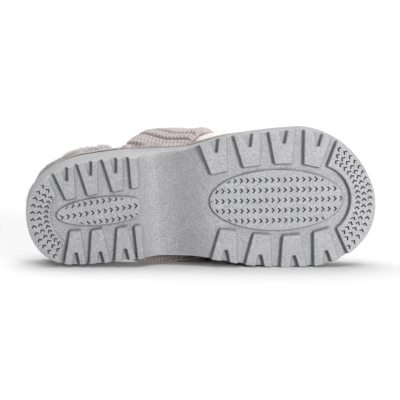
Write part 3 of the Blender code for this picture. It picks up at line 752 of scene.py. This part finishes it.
def makeSole(material):
    # Below is the tread; a wall of rings, rounded over at both edges, carries its edge up to the rim, and a
    # plain cap closes the top.
    shape = soleShape
    tread, triangles, paintedShade, edge = makeTread()
    edgeX, across, start = tread[edge].T
    side = np.where(across < smoothLine(soleRows, "centre", edgeX), -1, 1)
    inset = shape["edgeRound"]
    t = np.clip((edgeX - inset) / (shape["length"] - 2 * inset), 0, 1)
    ground, rim = treadGround(edgeX), rimZ(edgeX)

    def wallRing(height, pulledIn):
        # Points at a height over the ground plane, pulled in from the wall's own surface
        level = np.clip((height - ground) / (rim - ground), 0, 1)
        swell = shape["swell"] * np.sin(math.pi * level)
        heelOut = endOut(0) * level + swell - pulledIn
        toeOut = endOut(shape["length"]) * level + swell - pulledIn
        x = -heelOut + t * (shape["length"] + heelOut + toeOut)
        out = rimOut(x, side) * level + swell - pulledIn
        return np.column_stack([x, soleSide(x, side, out, heelOut, toeOut), height])

    rimRound = shape["rimRound"]
    low, high = start + inset, rim - rimRound
    stack = [wallRing(start + inset * (1 - math.cos(turn)), inset * (1 - math.sin(turn)))
             for turn in np.radians([25, 50, 70, 90])]
    stack += [wallRing(low + (high - low) * share, 0.0)
              for share in np.linspace(0, 1, shape["wallRings"])[1:]]
    stack += [wallRing(high + rimRound * math.sin(turn), rimRound * (1 - math.cos(turn)))
              for turn in np.radians([30, 60, 90])]
    stack.append(wallRing(rim, shape["capInset"]))
    walls = np.concatenate(stack)
    index = len(tread) + np.arange(len(walls)).reshape(len(stack), len(edge))
    _, capTriangles, capOrigin = planTriangles(stack[-1][:, :2], [], stack[-1][:0, :2])
    points = np.concatenate([tread, walls])
    faces = [triangles[:, ::-1], quadsOf(joined(np.concatenate([edge[None], index]))),
             index[-1, capOrigin][capTriangles]]
    plain = np.zeros(len(walls))
    # the foam's tone darkens towards the heel: a share of 1 there that falls to 0.1 between heelwardEnds
    heelward = (1 - ease(tread[:, 0], *shape["heelwardEnds"])) * 0.9 + 0.1
    values = {"paintedShade": np.append(paintedShade, plain), "heelward": np.append(heelward, plain)}
    sole = makeMesh("soleFoam", points, faces, material, values)
    sole.data.set_sharp_from_angle(angle=math.radians(shape["sharpAngle"]))
    sole.modifiers.new("evenFlats", "WEIGHTED_NORMAL").keep_sharp = True
    return sole


def foamMaterial():
    # Fine grain on broad blotches, darker towards the heel, and darker still where shade is painted in at the
    # feet of the walls, on the tread floor and in the chevrons; the darkest of that painted shade has no tint
    shape = soleShape
    paint = Paint("solePaint", roughness=0.62, specular=0.35)
    place = paint.place()
    grain = paint.noise(place, 1.0, 2.0, 0.6)
    tone = 2.2 * grain + 0.4 * paint.noise(place, 9.0, 3.0, 0.5) - 0.8
    toeward, heelward = [paint.shades(tone, *shape[name], shape["tint"]) for name in ("toeward", "heelward")]
    darkest, lighter = shape["paintedShadeTones"]
    paintedShadeTones = paint.blend(tone, grey(darkest), grey(lighter, shape["tint"]))
    foam = paint.blend(paint.value("heelward"), toeward, heelward)
    # painted shade at the feet of the walls, on the tread floor and in the chevrons
    paint.feed("Base Color", paint.blend(paint.value("paintedShade"), foam, paintedShadeTones))
    paint.feed("Normal", paint.bump(grain, 0.45))
    return paint.material


sole = makeSole(foamMaterial())
finishPiece(sole, "sole", "sole")


# Upper: plush outside, fleece inside
upperShape = {
    "wall": 3.0, "footInset": 1.2, "tuckHeight": 13.0, "ridgeShift": 3.0, "squareness": 2.5, "leanPower": 0.6,
    "toeReach": 34.0, "toePower": 2.2, "gap": 0.3, "throat": 73.0, "throatRoll": 2.0,
    "rows": 190, "columns": 181, "sunken": 0.75,
    "ripple": ((0.35, 14.0, 11), (0.12, 4.0, 12)), "tuft": ((0.16, 1.7, 13),),
    "pile": {"count": 36000, "seed": 21, "length": 0.95, "lengths": (0.6, 1.15), "width": 0.34, "sink": 0.3,
             "bent": False, "colour": (206, 228, (5, -2, -3))},
}
upperRows = {
    "x": [73, 84, 97, 112, 127, 138, 150, 164, 182, 212, 236, 266],
    "lean": [42, 41, 38, 34, 29, 25, 21, 15, 9, 2, 0, 0],
    "medialOut": [1.6, 2, 2.4, 3.4, 5.4, 7, 7.6, 6.2, 2.4, -2, -2.6, -2.8],
    "lateralOut": [6, 7.4, 8.4, 8.2, 7, 4.4, -0.1, -2.6, -3.8, -3.6, -3.2, -3],
    "ridgeZ": [91, 90, 88, 84.5, 80, 76.5, 73, 69, 64.5, 57.5, 52, 46],
}


def upperSurface(x, sweep, proud):
    # Sections over the foot: from the rim on the little-toe side, sweep -1, to the rim on the big-toe side,
    # sweep 1, superellipses that lean forward as they rise and turn in to the rim at their feet. proud moves
    # the surface out, and is one number or one for each x.
    shape = upperShape
    proud = np.broadcast_to(proud, x.shape)
    toeOut = endOut(soleShape["length"], shape["footInset"]) + proud
    end = soleShape["length"] + toeOut
    foot, bulge = [], []
    for side, column in ((-1, "lateralOut"), (1, "medialOut")):
        foot.append(soleSide(x, side, rimOut(x, side, shape["footInset"]) + proud, 0, toeOut)[:, None])
        bulge.append(soleSide(x, side, smoothLine(upperRows, column, x) + proud, 0, toeOut)[:, None])
    footZ = (rimZ(x) + shape["gap"])[:, None]
    rise = (smoothLine(upperRows, "ridgeZ", x) + proud)[:, None] - footZ
    rise = rise * roundedEnd(end - x, shape["toeReach"], shape["toePower"])[:, None]
    sweep = np.asarray(sweep)[None, :] * math.pi / 2
    aside = signedPower(np.sin(sweep), 2 / shape["squareness"])
    up = np.clip(np.cos(sweep), 0, None) ** (2 / shape["squareness"])
    up = np.where(np.abs(np.abs(sweep) - math.pi / 2) < 1e-9, 0, up)
    narrow = np.clip((end - x) / shape["toeReach"], 0, 1)[:, None]
    ridgeY = (bulge[0] + bulge[1]) / 2 + shape["ridgeShift"] * narrow
    width = np.where(sweep < 0, ridgeY - bulge[0], bulge[1] - ridgeY)
    z = footZ + rise * up
    turnedIn = np.clip(1 - (z - footZ) / shape["tuckHeight"], 0, 1) ** 2
    tuck = np.where(sweep < 0, bulge[0] - foot[0], bulge[1] - foot[1])
    lean = smoothLine(upperRows, "lean", x)[:, None] * narrow
    points = [x[:, None] + lean * up ** shape["leanPower"], ridgeY + aside * width - tuck * turnedIn, z]
    return np.stack(np.broadcast_arrays(*points), axis=2)


def sweepSteps(count):
    # From -1 to 1, closer together towards both rims
    t = np.linspace(-1, 1, count)
    return np.sign(t) * (1 - (1 - np.abs(t)) ** 1.5)


def upperStations(end, count):
    # From the throat to the toe, closer together towards both
    t = np.linspace(0, 1, count)
    t = np.where(t < 0.5, t, 1 - (1 - t) ** 2 * 2) * 0.75 + 0.25 * np.sin(t * math.pi / 2)
    start = upperShape["throat"]
    return start + (end - start) * (t - t[0]) / (t[-1] - t[0])


def makeUpper(material):
    # Outside and inside run together at the throat and at the toe, and meet in a wall at both rims
    shape = upperShape
    sweep = sweepSteps(shape["columns"])
    toe = soleShape["length"] + endOut(soleShape["length"], shape["footInset"])
    x = upperStations(toe, shape["rows"])
    outer = upperSurface(x, sweep, 0.0)
    roll = np.clip((x - x[0]) / shape["throatRoll"], 0, 1)
    wall = shape["wall"] * np.sqrt(1 - (1 - roll) ** 2)
    innerX = np.minimum(x, toe - shape["wall"])
    inner = upperSurface(innerX, sweep, -wall)
    inner[0] = outer[0]
    normals = gridNormals(outer, (150.0, 4.0, 30.0))
    along, around = runLength(outer), runLength(outer.transpose(1, 0, 2)).T
    soft = ease(along, 0.0, 6.0) * ease(around, 0.0, 5.0) * ease(around[:, -1:] - around, 0.0, 5.0)
    height = lumps(along, around, shape["ripple"]) - shape["sunken"] + lumps(along, around, shape["tuft"])
    toeFade = ease(x[-1] - x, 0.5, 6.0)[:, None]
    outer = outer + normals * (height * soft * toeFade)[..., None]
    points = np.concatenate([outer, inner[:, ::-1]], axis=1)
    lining = np.concatenate([np.zeros(outer.shape[:2]), np.ones(inner.shape[:2])], axis=1)
    piece = makeMesh("upperPlush", points, tubeFaces(points), material, {"lining": lining}, merge=0.01)
    return piece, outer, normals


def plushMaterial():
    # Pale plush outside, looped fleece inside; the pile's direction shows as faint strokes
    paint = Paint("plushPaint", roughness=0.95, specular=0.1, sheen=0.35, spread=0.6)
    place = paint.place()
    lining = paint.value("lining")
    fine = paint.noise(place, 0.7, 3.0, 0.7)
    broad = paint.noise(place, 7.0, 2.0, 0.5)
    tone = 0.55 * fine + 0.45 * broad
    outside = paint.blend(tone, grey(192, (5, -2, -3)), grey(222, (4, -2, -3)))
    loops = paint.add("ShaderNodeTexVoronoi", {"feature": "F1"}, {"Vector": place, "Scale": 0.55})
    inside = paint.shades(loops, 192, 157, (4, 0, -2))
    paint.feed("Base Color", paint.blend(lining, outside, inside))
    paint.feed("Normal", paint.bump(fine + broad - lining * loops * 1.5, 0.35))
    return paint.material


def pileMaterial(name, colour):
    # Tufts are painted darker towards their roots, as shade down in the pile, and differ a little from one to
    # the next
    paint = Paint(name, roughness=0.9, specular=0.12, sheen=0.3, spread=0.5)
    grain = paint.noise(paint.place(), 1.4, 2.0, 0.6)
    tone = paint.value("reach") * 0.6 + paint.value("tone") * 0.25 + grain * 0.2
    paint.feed("Base Color", paint.shades(tone, *colour))
    paint.feed("Normal", paint.bump(grain, 0.05))
    return paint.material


upper, upperOuter, upperNormals = makeUpper(plushMaterial())
finishPiece(upper, "upper", "upper")


def makeUpperPile():
    # Brushed towards the toe, with whorls that turn it aside
    pile = upperShape["pile"]
    roots, (normals, along, around), rng = scatterOn(upperOuter, upperNormals, pile["count"], pile["seed"])
    keep = (roots[:, 2] > rimZ(roots[:, 0]) + 1.6)
    roots, normals, along, around = [field[keep] for field in (roots, normals, along, around)]
    lean = 0.7 * along + 0.5 * around * latticeNoise(roots[:, 0], roots[:, 2], 9.0, 22)[:, None]
    makePile("upperPile", "upper", pile, roots, normals, lean + rng.normal(0, 0.22, roots.shape), rng)


makeUpperPile()


# Cuff: a band of ribbed knit, rolled at both edges
cuffShape = {
    "thick": 9.9, "back": 70.5, "front": 125.0, "gap": 0.3, "rows": 561, "columns": 140, "innerColumns": 14,
    "backPower": 2.4, "frontPower": 16.0, "footReach": (10.0, 4.0),  # how its thickness dies away at edges
    "frontThinner": 0.455, "sag": 0.3, "floorSideShade": 0.75, "sunken": 0.1, "zigzag": 0.5,
    "ribPitch": 12.2, "narrowRib": (0.34, 8.0), "ribStart": 9.4, "valley": 0.22, "valleyDepth": 1.8,
    "hem": (1.5, 6.0), "tilt": 13.0, "tiltReach": 38.0, "tiltPower": 1.25, "tiltFades": (100, 55),
    "stitch": 2.9, "stitchDepth": 1.1, "walesInRib": 3,
    "lumps": ((0.5, 10.0, 31), (0.12, 2.5, 32)), "colour": (85, 182, (7, -3, -4)),
}


def cuffBand(t, sweep, inside):
    # t runs across the band from its back edge, -1, to its front edge, 1. Its thickness is that of a flat
    # superellipse, so both edges roll over to the surface of the upper, and it dies away at the rims too. On
    # the big-toe side it sags, until the floor stops it.
    shape = cuffShape
    start, end = shape["back"], shape["front"]
    x = (start + end) / 2 + (end - start) / 2 * t
    inner = upperSurface(x, sweep, shape["gap"])
    if inside:
        return inner
    power = np.where(t < 0, shape["backPower"], shape["frontPower"])
    thick = shape["thick"] * (1 - np.abs(t) ** power) ** 0.5 * (1 - shape["frontThinner"] * (t + 1) / 2)
    full = upperSurface(x, sweep, shape["gap"] + thick)
    length = runLength(inner[len(t) // 2])
    share = roundedEnd(length, shape["footReach"][0], 2.2)
    share = share * roundedEnd(length[-1] - length, shape["footReach"][1], 2.2)
    share = share * (1 + shape["sag"] * ease(sweep, 0.2, 0.7))
    return inner + (full - inner) * share[None, :, None]


def makeCuff(material):
    # Broad ribs run across the band, tilted where they come over its back edge, with a deep valley between
    # them, and the lowest is narrower. Each rib is a few wales of stitches, whose halves slant to both sides,
    # so they read as rows of Vs. Their colour holds painted shade: darker in the valleys and between the
    # stitches, and darker still on the big-toe side, where the band lies against the floor.
    shape = cuffShape
    sweep = sweepSteps(shape["rows"])
    t = np.sin(np.linspace(-math.pi / 2, math.pi / 2, shape["columns"])) * 0.35
    t = t + 0.65 * np.linspace(-1, 1, shape["columns"])
    outer = cuffBand(t, sweep, False)
    inner = cuffBand(np.linspace(1, -1, shape["innerColumns"] + 2)[1:-1], sweep, True)
    normals = gridNormals(outer, (130.0, 4.0, 40.0))
    along = runLength(outer)
    around = np.broadcast_to(runLength(outer[len(t) // 2]), along.shape)
    fromRim = np.minimum(around, around[:, -1:] - around)
    tilt = shape["tilt"] * np.clip(1 - along / shape["tiltReach"], 0, 1) ** shape["tiltPower"]
    zigzag = shape["zigzag"] * (np.abs((along / shape["stitch"]) % 1.0 - 0.5) * 4 - 1)
    place = fromRim - tilt * ease(fromRim, *shape["tiltFades"]) - shape["ribStart"] + zigzag
    narrowing, narrowTo = shape["narrowRib"]
    phase = (place / shape["ribPitch"] + narrowing * ease(place, 0.0, narrowTo)) % 1.0
    fromValley = np.minimum(phase, 1 - phase) * 2
    rib = ease(fromValley, 0.0, shape["valley"] * 2) ** 0.8
    rib = 1 - (1 - rib) * ease(along[-1:] - along, *shape["hem"])
    wale = (np.clip((phase - shape["valley"] / 2) / (1 - shape["valley"]), 0, 1) * shape["walesInRib"]) % 1.0
    leg = np.abs(wale - 0.5) * 2
    loop = (along / shape["stitch"] - 0.5 * leg) % 1.0
    yarn = np.sin(math.pi * loop) ** 0.8 * (0.35 + 0.65 * np.sin(math.pi * wale) ** 0.7)
    purl = 0.5 + 0.5 * np.cos(2 * math.pi * (along / shape["stitch"] + 0.25))
    height = shape["stitchDepth"] * (rib * (yarn - 0.5) + (1 - rib) * 0.9 * (purl - 0.5))
    height += shape["valleyDepth"] * (rib - 1) - shape["sunken"]
    height += lumps(along, around, shape["lumps"])
    height *= ease(fromRim, 0.0, 1.5)
    height[[0, -1]] = 0
    outer = outer + normals * height[..., None]
    points = np.concatenate([outer, inner], axis=0).transpose(1, 0, 2)
    # painted shade: low in the rib valleys and between the stitches, high on the yarn
    raised = rib * (0.45 + 0.55 * yarn) + (1 - rib) * 0.25 * purl
    raised = np.concatenate([raised, np.full(inner.shape[:2], 0.6)], axis=0).T
    # painted shade on the big-toe side, where the band lies against the floor
    raised = raised * (1 - shape["floorSideShade"] * ease(sweep, 0.6, 0.8))[:, None]
    return makeMesh("cuffKnit", points, tubeFaces(points, capped=True), material, {"raised": raised})


def knitMaterial():
    # Painted shade: dark between the stitches and in the rib valleys, light on the yarn
    paint = Paint("knitPaint", roughness=0.92, specular=0.12, sheen=0.25, spread=0.5)
    place = paint.place()
    fibre = paint.noise(place, 0.35, 3.0, 0.7)
    broad = paint.noise(place, 12.0, 2.0, 0.5)
    tone = paint.value("raised") * 0.85 + fibre * 0.25 + broad * 0.15 - 0.1
    paint.feed("Base Color", paint.shades(tone, *cuffShape["colour"]))
    paint.feed("Normal", paint.bump(fibre, 0.22))
    return paint.material


cuff = makeCuff(knitMaterial())
finishPiece(cuff, "cuff", "cuff")


# Footbed: a cupped plush pad with a bound edge
footbedShape = {
    "thick": 5.0, "cup": 2.6, "narrows": (63.0, 72.0), "toeRoom": 3.6, "rows": 220, "columns": 61,
    "edgeRound": 1.6, "seamDepth": 0.55, "seamIn": 4.2,
    "quilt": ((0.25, 11.0, 41), (0.12, 3.0, 42)),
    "pile": {"count": 13000, "seed": 43, "length": 1.6, "lengths": (0.6, 1.2), "width": 0.5, "sink": 0.3,
             "bent": True, "colour": (168, 201, (5, 0, -3))},
}


def footbedInset(x):
    # Its edge follows the rim at the heel and steps in to pass inside the upper
    inside = (upperShape["wall"] + 1.0) * ease(x, *footbedShape["narrows"])
    return upperShape["footInset"] + inside + footbedShape["toeRoom"] * ease(x, 200, 255)


def makeFootbed(material):
    # Rows across the foot: the top sinks in the middle of the heel, and the edge is a bound roll
    shape = footbedShape
    length = soleShape["length"]
    heelOut, toeOut = [endOut(end, footbedInset(end)) for end in (0.0, length)]
    x = crowded(-heelOut, length + toeOut, shape["rows"])
    low, high = [soleSide(x, side, rimOut(x, side, footbedInset(x)), heelOut, toeOut)[:, None]
                 for side in (-1, 1)]
    share = np.sin(np.linspace(-1, 1, shape["columns"]) * math.pi / 2)[None, :]
    y = (low + high) / 2 + (high - low) / 2 * share
    edge = np.minimum(y - low, high - y)
    edge = np.minimum(edge, np.minimum(x + heelOut, length + toeOut - x)[:, None])
    rounded = np.sqrt(np.clip(1 - (1 - np.clip(edge / shape["edgeRound"], 0, 1)) ** 2, 0, 1))
    bottom = np.broadcast_to((rimZ(x) + upperShape["gap"])[:, None], y.shape)
    cup = shape["cup"] * (1 - ease(x, 60, 130))[:, None] * (1 - share**2) ** 2
    cup = cup * np.clip((high - low) / 50, 0, 1)
    wide = np.broadcast_to(x[:, None], y.shape)
    binding = -shape["seamDepth"] * np.exp(-((edge - shape["seamIn"]) / 0.55) ** 2)
    quilt = (lumps(wide, y, shape["quilt"]) + binding) * ease(edge, 2.2, 5.0)
    full = shape["thick"] - 0.25 - cup + quilt
    halfThick = shape["thick"] / 2
    top = np.stack([wide, y, bottom + halfThick + (full - halfThick) * rounded], axis=2)
    under = np.stack([wide, y, bottom + halfThick - halfThick * rounded], axis=2)
    points = np.concatenate([top, under[:, ::-1]], axis=1)
    bound = np.concatenate([1 - ease(edge, 3.6, 4.4), np.ones(edge.shape)], axis=1)
    piece = makeMesh("footbedPad", points, tubeFaces(points), material, {"bound": bound}, merge=0.01)
    return piece, top, edge


def footbedMaterial():
    # Fleece, and a woven binding round its edge
    paint = Paint("footbedPaint", roughness=0.95, specular=0.1, sheen=0.3, spread=0.6)
    place = paint.place()
    fine = paint.noise(place, 0.8, 3.0, 0.7)
    fleece = paint.shades(fine, 166, 197, (5, 0, -3))
    weave = paint.add("ShaderNodeTexWave", {"wave_type": "BANDS", "bands_direction": "X"},
                      {"Vector": place, "Scale": 0.28, "Distortion": 1.5})
    binding = paint.shades(weave, 166, 184, (4, 0, -3))
    paint.feed("Base Color", paint.blend(paint.value("bound"), fleece, binding))
    paint.feed("Normal", paint.bump(fine + weave * 0.4, 0.3))
    return paint.material


footbed, footbedTop, footbedEdge = makeFootbed(footbedMaterial())
finishPiece(footbed, "footbed", "footbed")


def makeFootbedPile():
    # Inside the binding, leaning towards the toe
    pile = footbedShape["pile"]
    weight = ease(footbedEdge, 4.0, 5.5) + 1e-6
    normals = gridNormals(footbedTop, (130.0, 4.0, 0.0))
    roots, (normals, along, _), rng = scatterOn(footbedTop, normals, pile["count"], pile["seed"], weight)
    lean = 0.5 * along + rng.normal(0, 0.45, roots.shape)
    makePile("footbedPile", "footbed", pile, roots, normals, lean, rng)


makeFootbedPile()


# Welt: a strip of fabric round the rim, over the edges of the footbed and the upper
weltShape = {
    "middleOut": -0.1, "middleUp": 2.45, "halfOut": 1.25, "halfUp": 2.3, "squareness": 2.4,
    "hidden": (0.75, 1.3), "shown": ((16, 44), (150, 172)), "rows": 420, "sections": 32,
    "waves": ((0.12, 9.0, 61),),
    "creviceShade": (0.35, 0.6), "creviceShadeEnds": (66, 84), "cloth": (138, 164, (3, 0, -2)), "creviceShadeColour": (70, (3, 0, 0)),
}


def makeWelt(material):
    # A superelliptic section, taller than wide, carried round the rim at a fixed height over it
    shape = weltShape
    out = shape["middleOut"]
    length = soleShape["length"]
    heelOut, toeOut = endOut(0.0, -out), endOut(length, -out)
    x = crowded(-heelOut, length + toeOut, shape["rows"] // 2 + 1)
    low, high = [np.column_stack([x, soleSide(x, side, rimOut(x, side, -out), heelOut, toeOut)])
                 for side in (-1, 1)]
    path = np.concatenate([low, high[-2:0:-1]])
    outward = outwardOf(path, np.roll(path, -1, axis=0) - np.roll(path, 1, axis=0), (130.0, 4.0))
    angle = np.linspace(0, 2 * math.pi, shape["sections"], endpoint=False)[None, :]
    power = 2 / shape["squareness"]
    across = signedPower(np.cos(angle), power) * shape["halfOut"]
    up = signedPower(np.sin(angle), power) * shape["halfUp"]
    run = runLength(path)[:, None]
    across = across + lumps(run, angle * 2, shape["waves"]) * np.clip(np.cos(angle), 0, 1)
    x = path[:, :1]
    across = across - shape["hidden"][0] * (1 - ease(x, *shape["shown"][0]))
    across = across - shape["hidden"][1] * ease(x, *shape["shown"][1])
    level = rimZ(x) + shape["middleUp"] + up
    points = np.stack([x + outward[:, :1] * across, path[:, 1:] + outward[:, 1:] * across, level], axis=2)
    index = np.arange(level.size).reshape(level.shape)
    faces = quadsOf(joined(np.concatenate([index, index[:1]])))
    # painted shade in the crevice between the strip's lower inner side and the rim, weaker towards the toe
    creviceShade = (1 - ease(np.cos(angle), *shape["creviceShade"])) * (np.sin(angle) < 0)
    creviceShade = creviceShade * (1 - 0.7 * ease(x, *shape["creviceShadeEnds"]))
    values = {"run": np.broadcast_to(run, level.shape), "creviceShade": creviceShade}
    return makeMesh("edgeWelt", points, [faces], material, values)


def weltMaterial():
    # Close twill: slanting threads read along the strip, with painted shade in the crevice over the rim
    paint = Paint("weltPaint", roughness=0.9, specular=0.12, sheen=0.25, spread=0.5)
    thread = paint.add("ShaderNodeMath", {"operation": "SINE"}, {0: paint.value("run") * 6.0})
    fine = paint.noise(paint.place(), 0.6, 3.0, 0.7)
    cloth = paint.shades(thread * 0.12 + fine * 0.5 + 0.25, *weltShape["cloth"])
    paint.feed("Base Color", paint.blend(paint.value("creviceShade"), cloth, grey(*weltShape["creviceShadeColour"])))
    paint.feed("Normal", paint.bump(thread * 0.4 + fine, 0.15))
    return paint.material


welt = makeWelt(weltMaterial())
finishPiece(welt, "footbed")


# Heel collar: a fluffy roll round the heel
collarShape = {
    "end": 66.0, "thick": 8.4, "height": 16.0, "back": -1.9,
    "sides": {-1: (-0.1, -1.0, 15.0), 1: (2.7, 10.0, 46.0)},  # how far out each side swings, from x to x
    "rings": 360, "sections": 72, "slim": 1.3, "endRound": 9.0, "lumps": ((1.9, 6.5, 51), (0.45, 2.6, 52)),
    # litTones on top, underShadeTones for the painted shade underneath
    "tint": (4, -1, -2), "litTones": (172, 217), "underShadeTones": (152, 202),
    "pile": {"count": 17000, "seed": 53, "length": 2.5, "lengths": (0.5, 1.2), "width": 0.6, "sink": 0.4,
             "bent": True, "colour": (170, 224, (4, -1, -2))},
}


def collarPath():
    # The line of the roll, from the little-toe side round the heel to the big-toe side, evenly spaced
    shape = collarShape
    full = crowded(-shape["back"], 2 * shape["end"] + shape["back"], 241)
    x = full[full <= shape["end"]]
    sides = []
    for side, (out, start, end) in shape["sides"].items():
        moved = shape["back"] + (out - shape["back"]) * ease(x, start, end)
        sides.append(np.column_stack([x, soleSide(x, side, moved, shape["back"], 0)]))
    path = np.concatenate([sides[0][::-1], sides[1][1:]])
    length = runLength(path)
    even = np.linspace(0, length[-1], shape["rings"])
    return np.column_stack([np.interp(even, length, path[:, 0]), np.interp(even, length, path[:, 1])]), even


def makeCollar(material):
    # Oval sections along the path, full height on the footbed's edge, rounded off at both ends and lumpy
    shape = collarShape
    path, length = collarPath()
    outward = outwardOf(path, np.gradient(path, axis=0), (60.0, 4.0))
    size = roundedEnd(np.minimum(length, length[-1] - length) + 0.02, shape["endRound"], 2.0)[:, None]
    angle = np.linspace(0, 2 * math.pi, shape["sections"], endpoint=False)[None, :]
    lump = lumps(length[:, None], angle / (2 * math.pi) * 36, shape["lumps"])
    cord = 0.35 * np.cos(length[:, None] * 2 * math.pi / 4.6) * np.clip(np.sin(angle), 0, 1)
    grow = (lump + cord - shape["slim"]) * size
    aside = np.cos(angle) * (shape["thick"] / 2 * size + grow * 0.8)
    up = shape["height"] / 2 * (1 + np.sin(angle) * size) + np.sin(angle) * grow
    base = rimZ(path[:, 0]) + footbedShape["thick"] + 2 * upperShape["gap"]
    points = np.stack([path[:, :1] + outward[:, :1] * aside, path[:, 1:] + outward[:, 1:] * aside,
                       base[:, None] + np.maximum(up, 0.15)], axis=2)
    # painted shade on the underside of the roll
    low = np.broadcast_to(ease(-np.sin(angle), -0.5, 0.6), up.shape)
    piece = makeMesh("collarRoll", points, tubeFaces(points, capped=True), material, {"low": low})
    normals = np.stack([outward[:, :1] * np.cos(angle), outward[:, 1:] * np.cos(angle),
                        np.broadcast_to(np.sin(angle), up.shape)], axis=2)
    return piece, points, normals


def fluffMaterial():
    # Blotchy fluff, with lit tones on top and painted shade on its lower side
    shape = collarShape
    paint = Paint("fluffPaint", roughness=0.95, specular=0.1, sheen=0.3, spread=0.6)
    place = paint.place()
    fine = paint.noise(place, 0.9, 3.0, 0.7)
    tone = fine * 0.5 + paint.noise(place, 8.0, 2.0, 0.5) * 0.5
    light, dark = [paint.shades(tone, *shape[name], shape["tint"]) for name in ("litTones", "underShadeTones")]
    paint.feed("Base Color", paint.blend(paint.value("low"), light, dark))
    paint.feed("Normal", paint.bump(fine, 0.5))
    return paint.material


collar, collarOuter, collarNormals = makeCollar(fluffMaterial())
finishPiece(collar, "heel_collar", "heel_collar")


def makeCollarPile():
    # Thinner towards the underside, leaning either way along the roll
    pile = collarShape["pile"]
    outward = joined(collarNormals)
    weight = np.clip(outward[..., 2] + 1.0, 0.02, 1.2)
    grid = joined(collarOuter)
    roots, (normals, along, _), rng = scatterOn(grid, outward, pile["count"], pile["seed"], weight)
    lean = 0.5 * along * rng.choice([-1.0, 1.0], len(roots))[:, None] + rng.normal(0, 0.4, roots.shape)
    makePile("collarPile", "heel_collar", pile, roots, normals, lean, rng)


makeCollarPile()


# Studio
studio = {
    "target": (0.0009, -0.0470, 0.0519), "distance": 1.5, "elevation": 5.256, "lens": 178.6,
    "floorReach": 30.0, "floorShade": 0.7, "ambient": 0.12,
    # Where each light stands, in degrees to the right of the camera and up, its breadth and its strength
    "lights": {"key": (33, 9, 12, 3.35), "frontHigh": (0, 55, 35, 0.5), "top": (0, 84, 60, 1.6),
               "back": (180, 55, 60, 1.45), "backRight": (130, 60, 50, 0.2), "backLeft": (-115, 36, 50, 0.8)},
}


def makeCamera():
    # Level with the shoe's side, a little above it, looking at the target
    camera = bpy.data.objects.new("camera", bpy.data.cameras.new("camera"))
    scene.collection.objects.link(camera)
    scene.camera = camera
    tilt = math.radians(studio["elevation"])
    back = Vector((0, -math.cos(tilt), math.sin(tilt)))
    camera.location = Vector(studio["target"]) + back * studio["distance"]
    camera.rotation_euler = (math.pi / 2 - tilt, 0, 0)
    camera.data.lens = studio["lens"]
    camera.data.sensor_width = 36.0


def makeFloor():
    # A wide sheet, in squares that grow with their distance from the middle
    step = np.linspace(-1, 1, 21)
    line = signedPower(step, 3) * studio["floorReach"]
    x, y = np.meshgrid(line, line, indexing="ij")
    points = np.stack([x, y, np.zeros_like(x)], axis=2).reshape(-1, 3)
    mesh = bpy.data.meshes.new("floorSheet")
    mesh.from_pydata(points.tolist(), [], quadsOf(np.arange(x.size).reshape(x.shape))[:, ::-1].tolist())
    sheet = bpy.data.objects.new("floorSheet", mesh)
    scene.collection.objects.link(sheet)
    paint = Paint("floorPaint", roughness=0.9, specular=0.1)
    paint.feed("Base Color", (studio["floorShade"],) * 3)
    mesh.materials.append(paint.material)


def makeLights():
    # Broad distant lights, and a world that looks white but lights the shoe only a little
    for name, (turn, height, breadth, strength) in studio["lights"].items():
        light = bpy.data.lights.new(name, "SUN")
        light.energy = strength
        light.angle = math.radians(breadth)
        lamp = bpy.data.objects.new(name, light)
        scene.collection.objects.link(lamp)
        turn, height = math.radians(turn), math.radians(height)
        level = math.cos(height)
        place = Vector((level * math.sin(turn), -level * math.cos(turn), math.sin(height)))
        lamp.location = place
        lamp.rotation_euler = place.to_track_quat("Z", "Y").to_euler()
    world = bpy.data.worlds.new("studio")
    scene.world = world
    world.use_nodes = True
    air = Nodes(world.node_tree, "Background")
    seen = air.add("ShaderNodeLightPath", {}, {}, "Is Camera Ray")
    air.feed("Color", (1.0, 1.0, 1.0))
    air.feed("Strength", studio["ambient"] + seen * (1 - studio["ambient"]))


makeFloor()
makeLights()
makeCamera()
print("studio set")
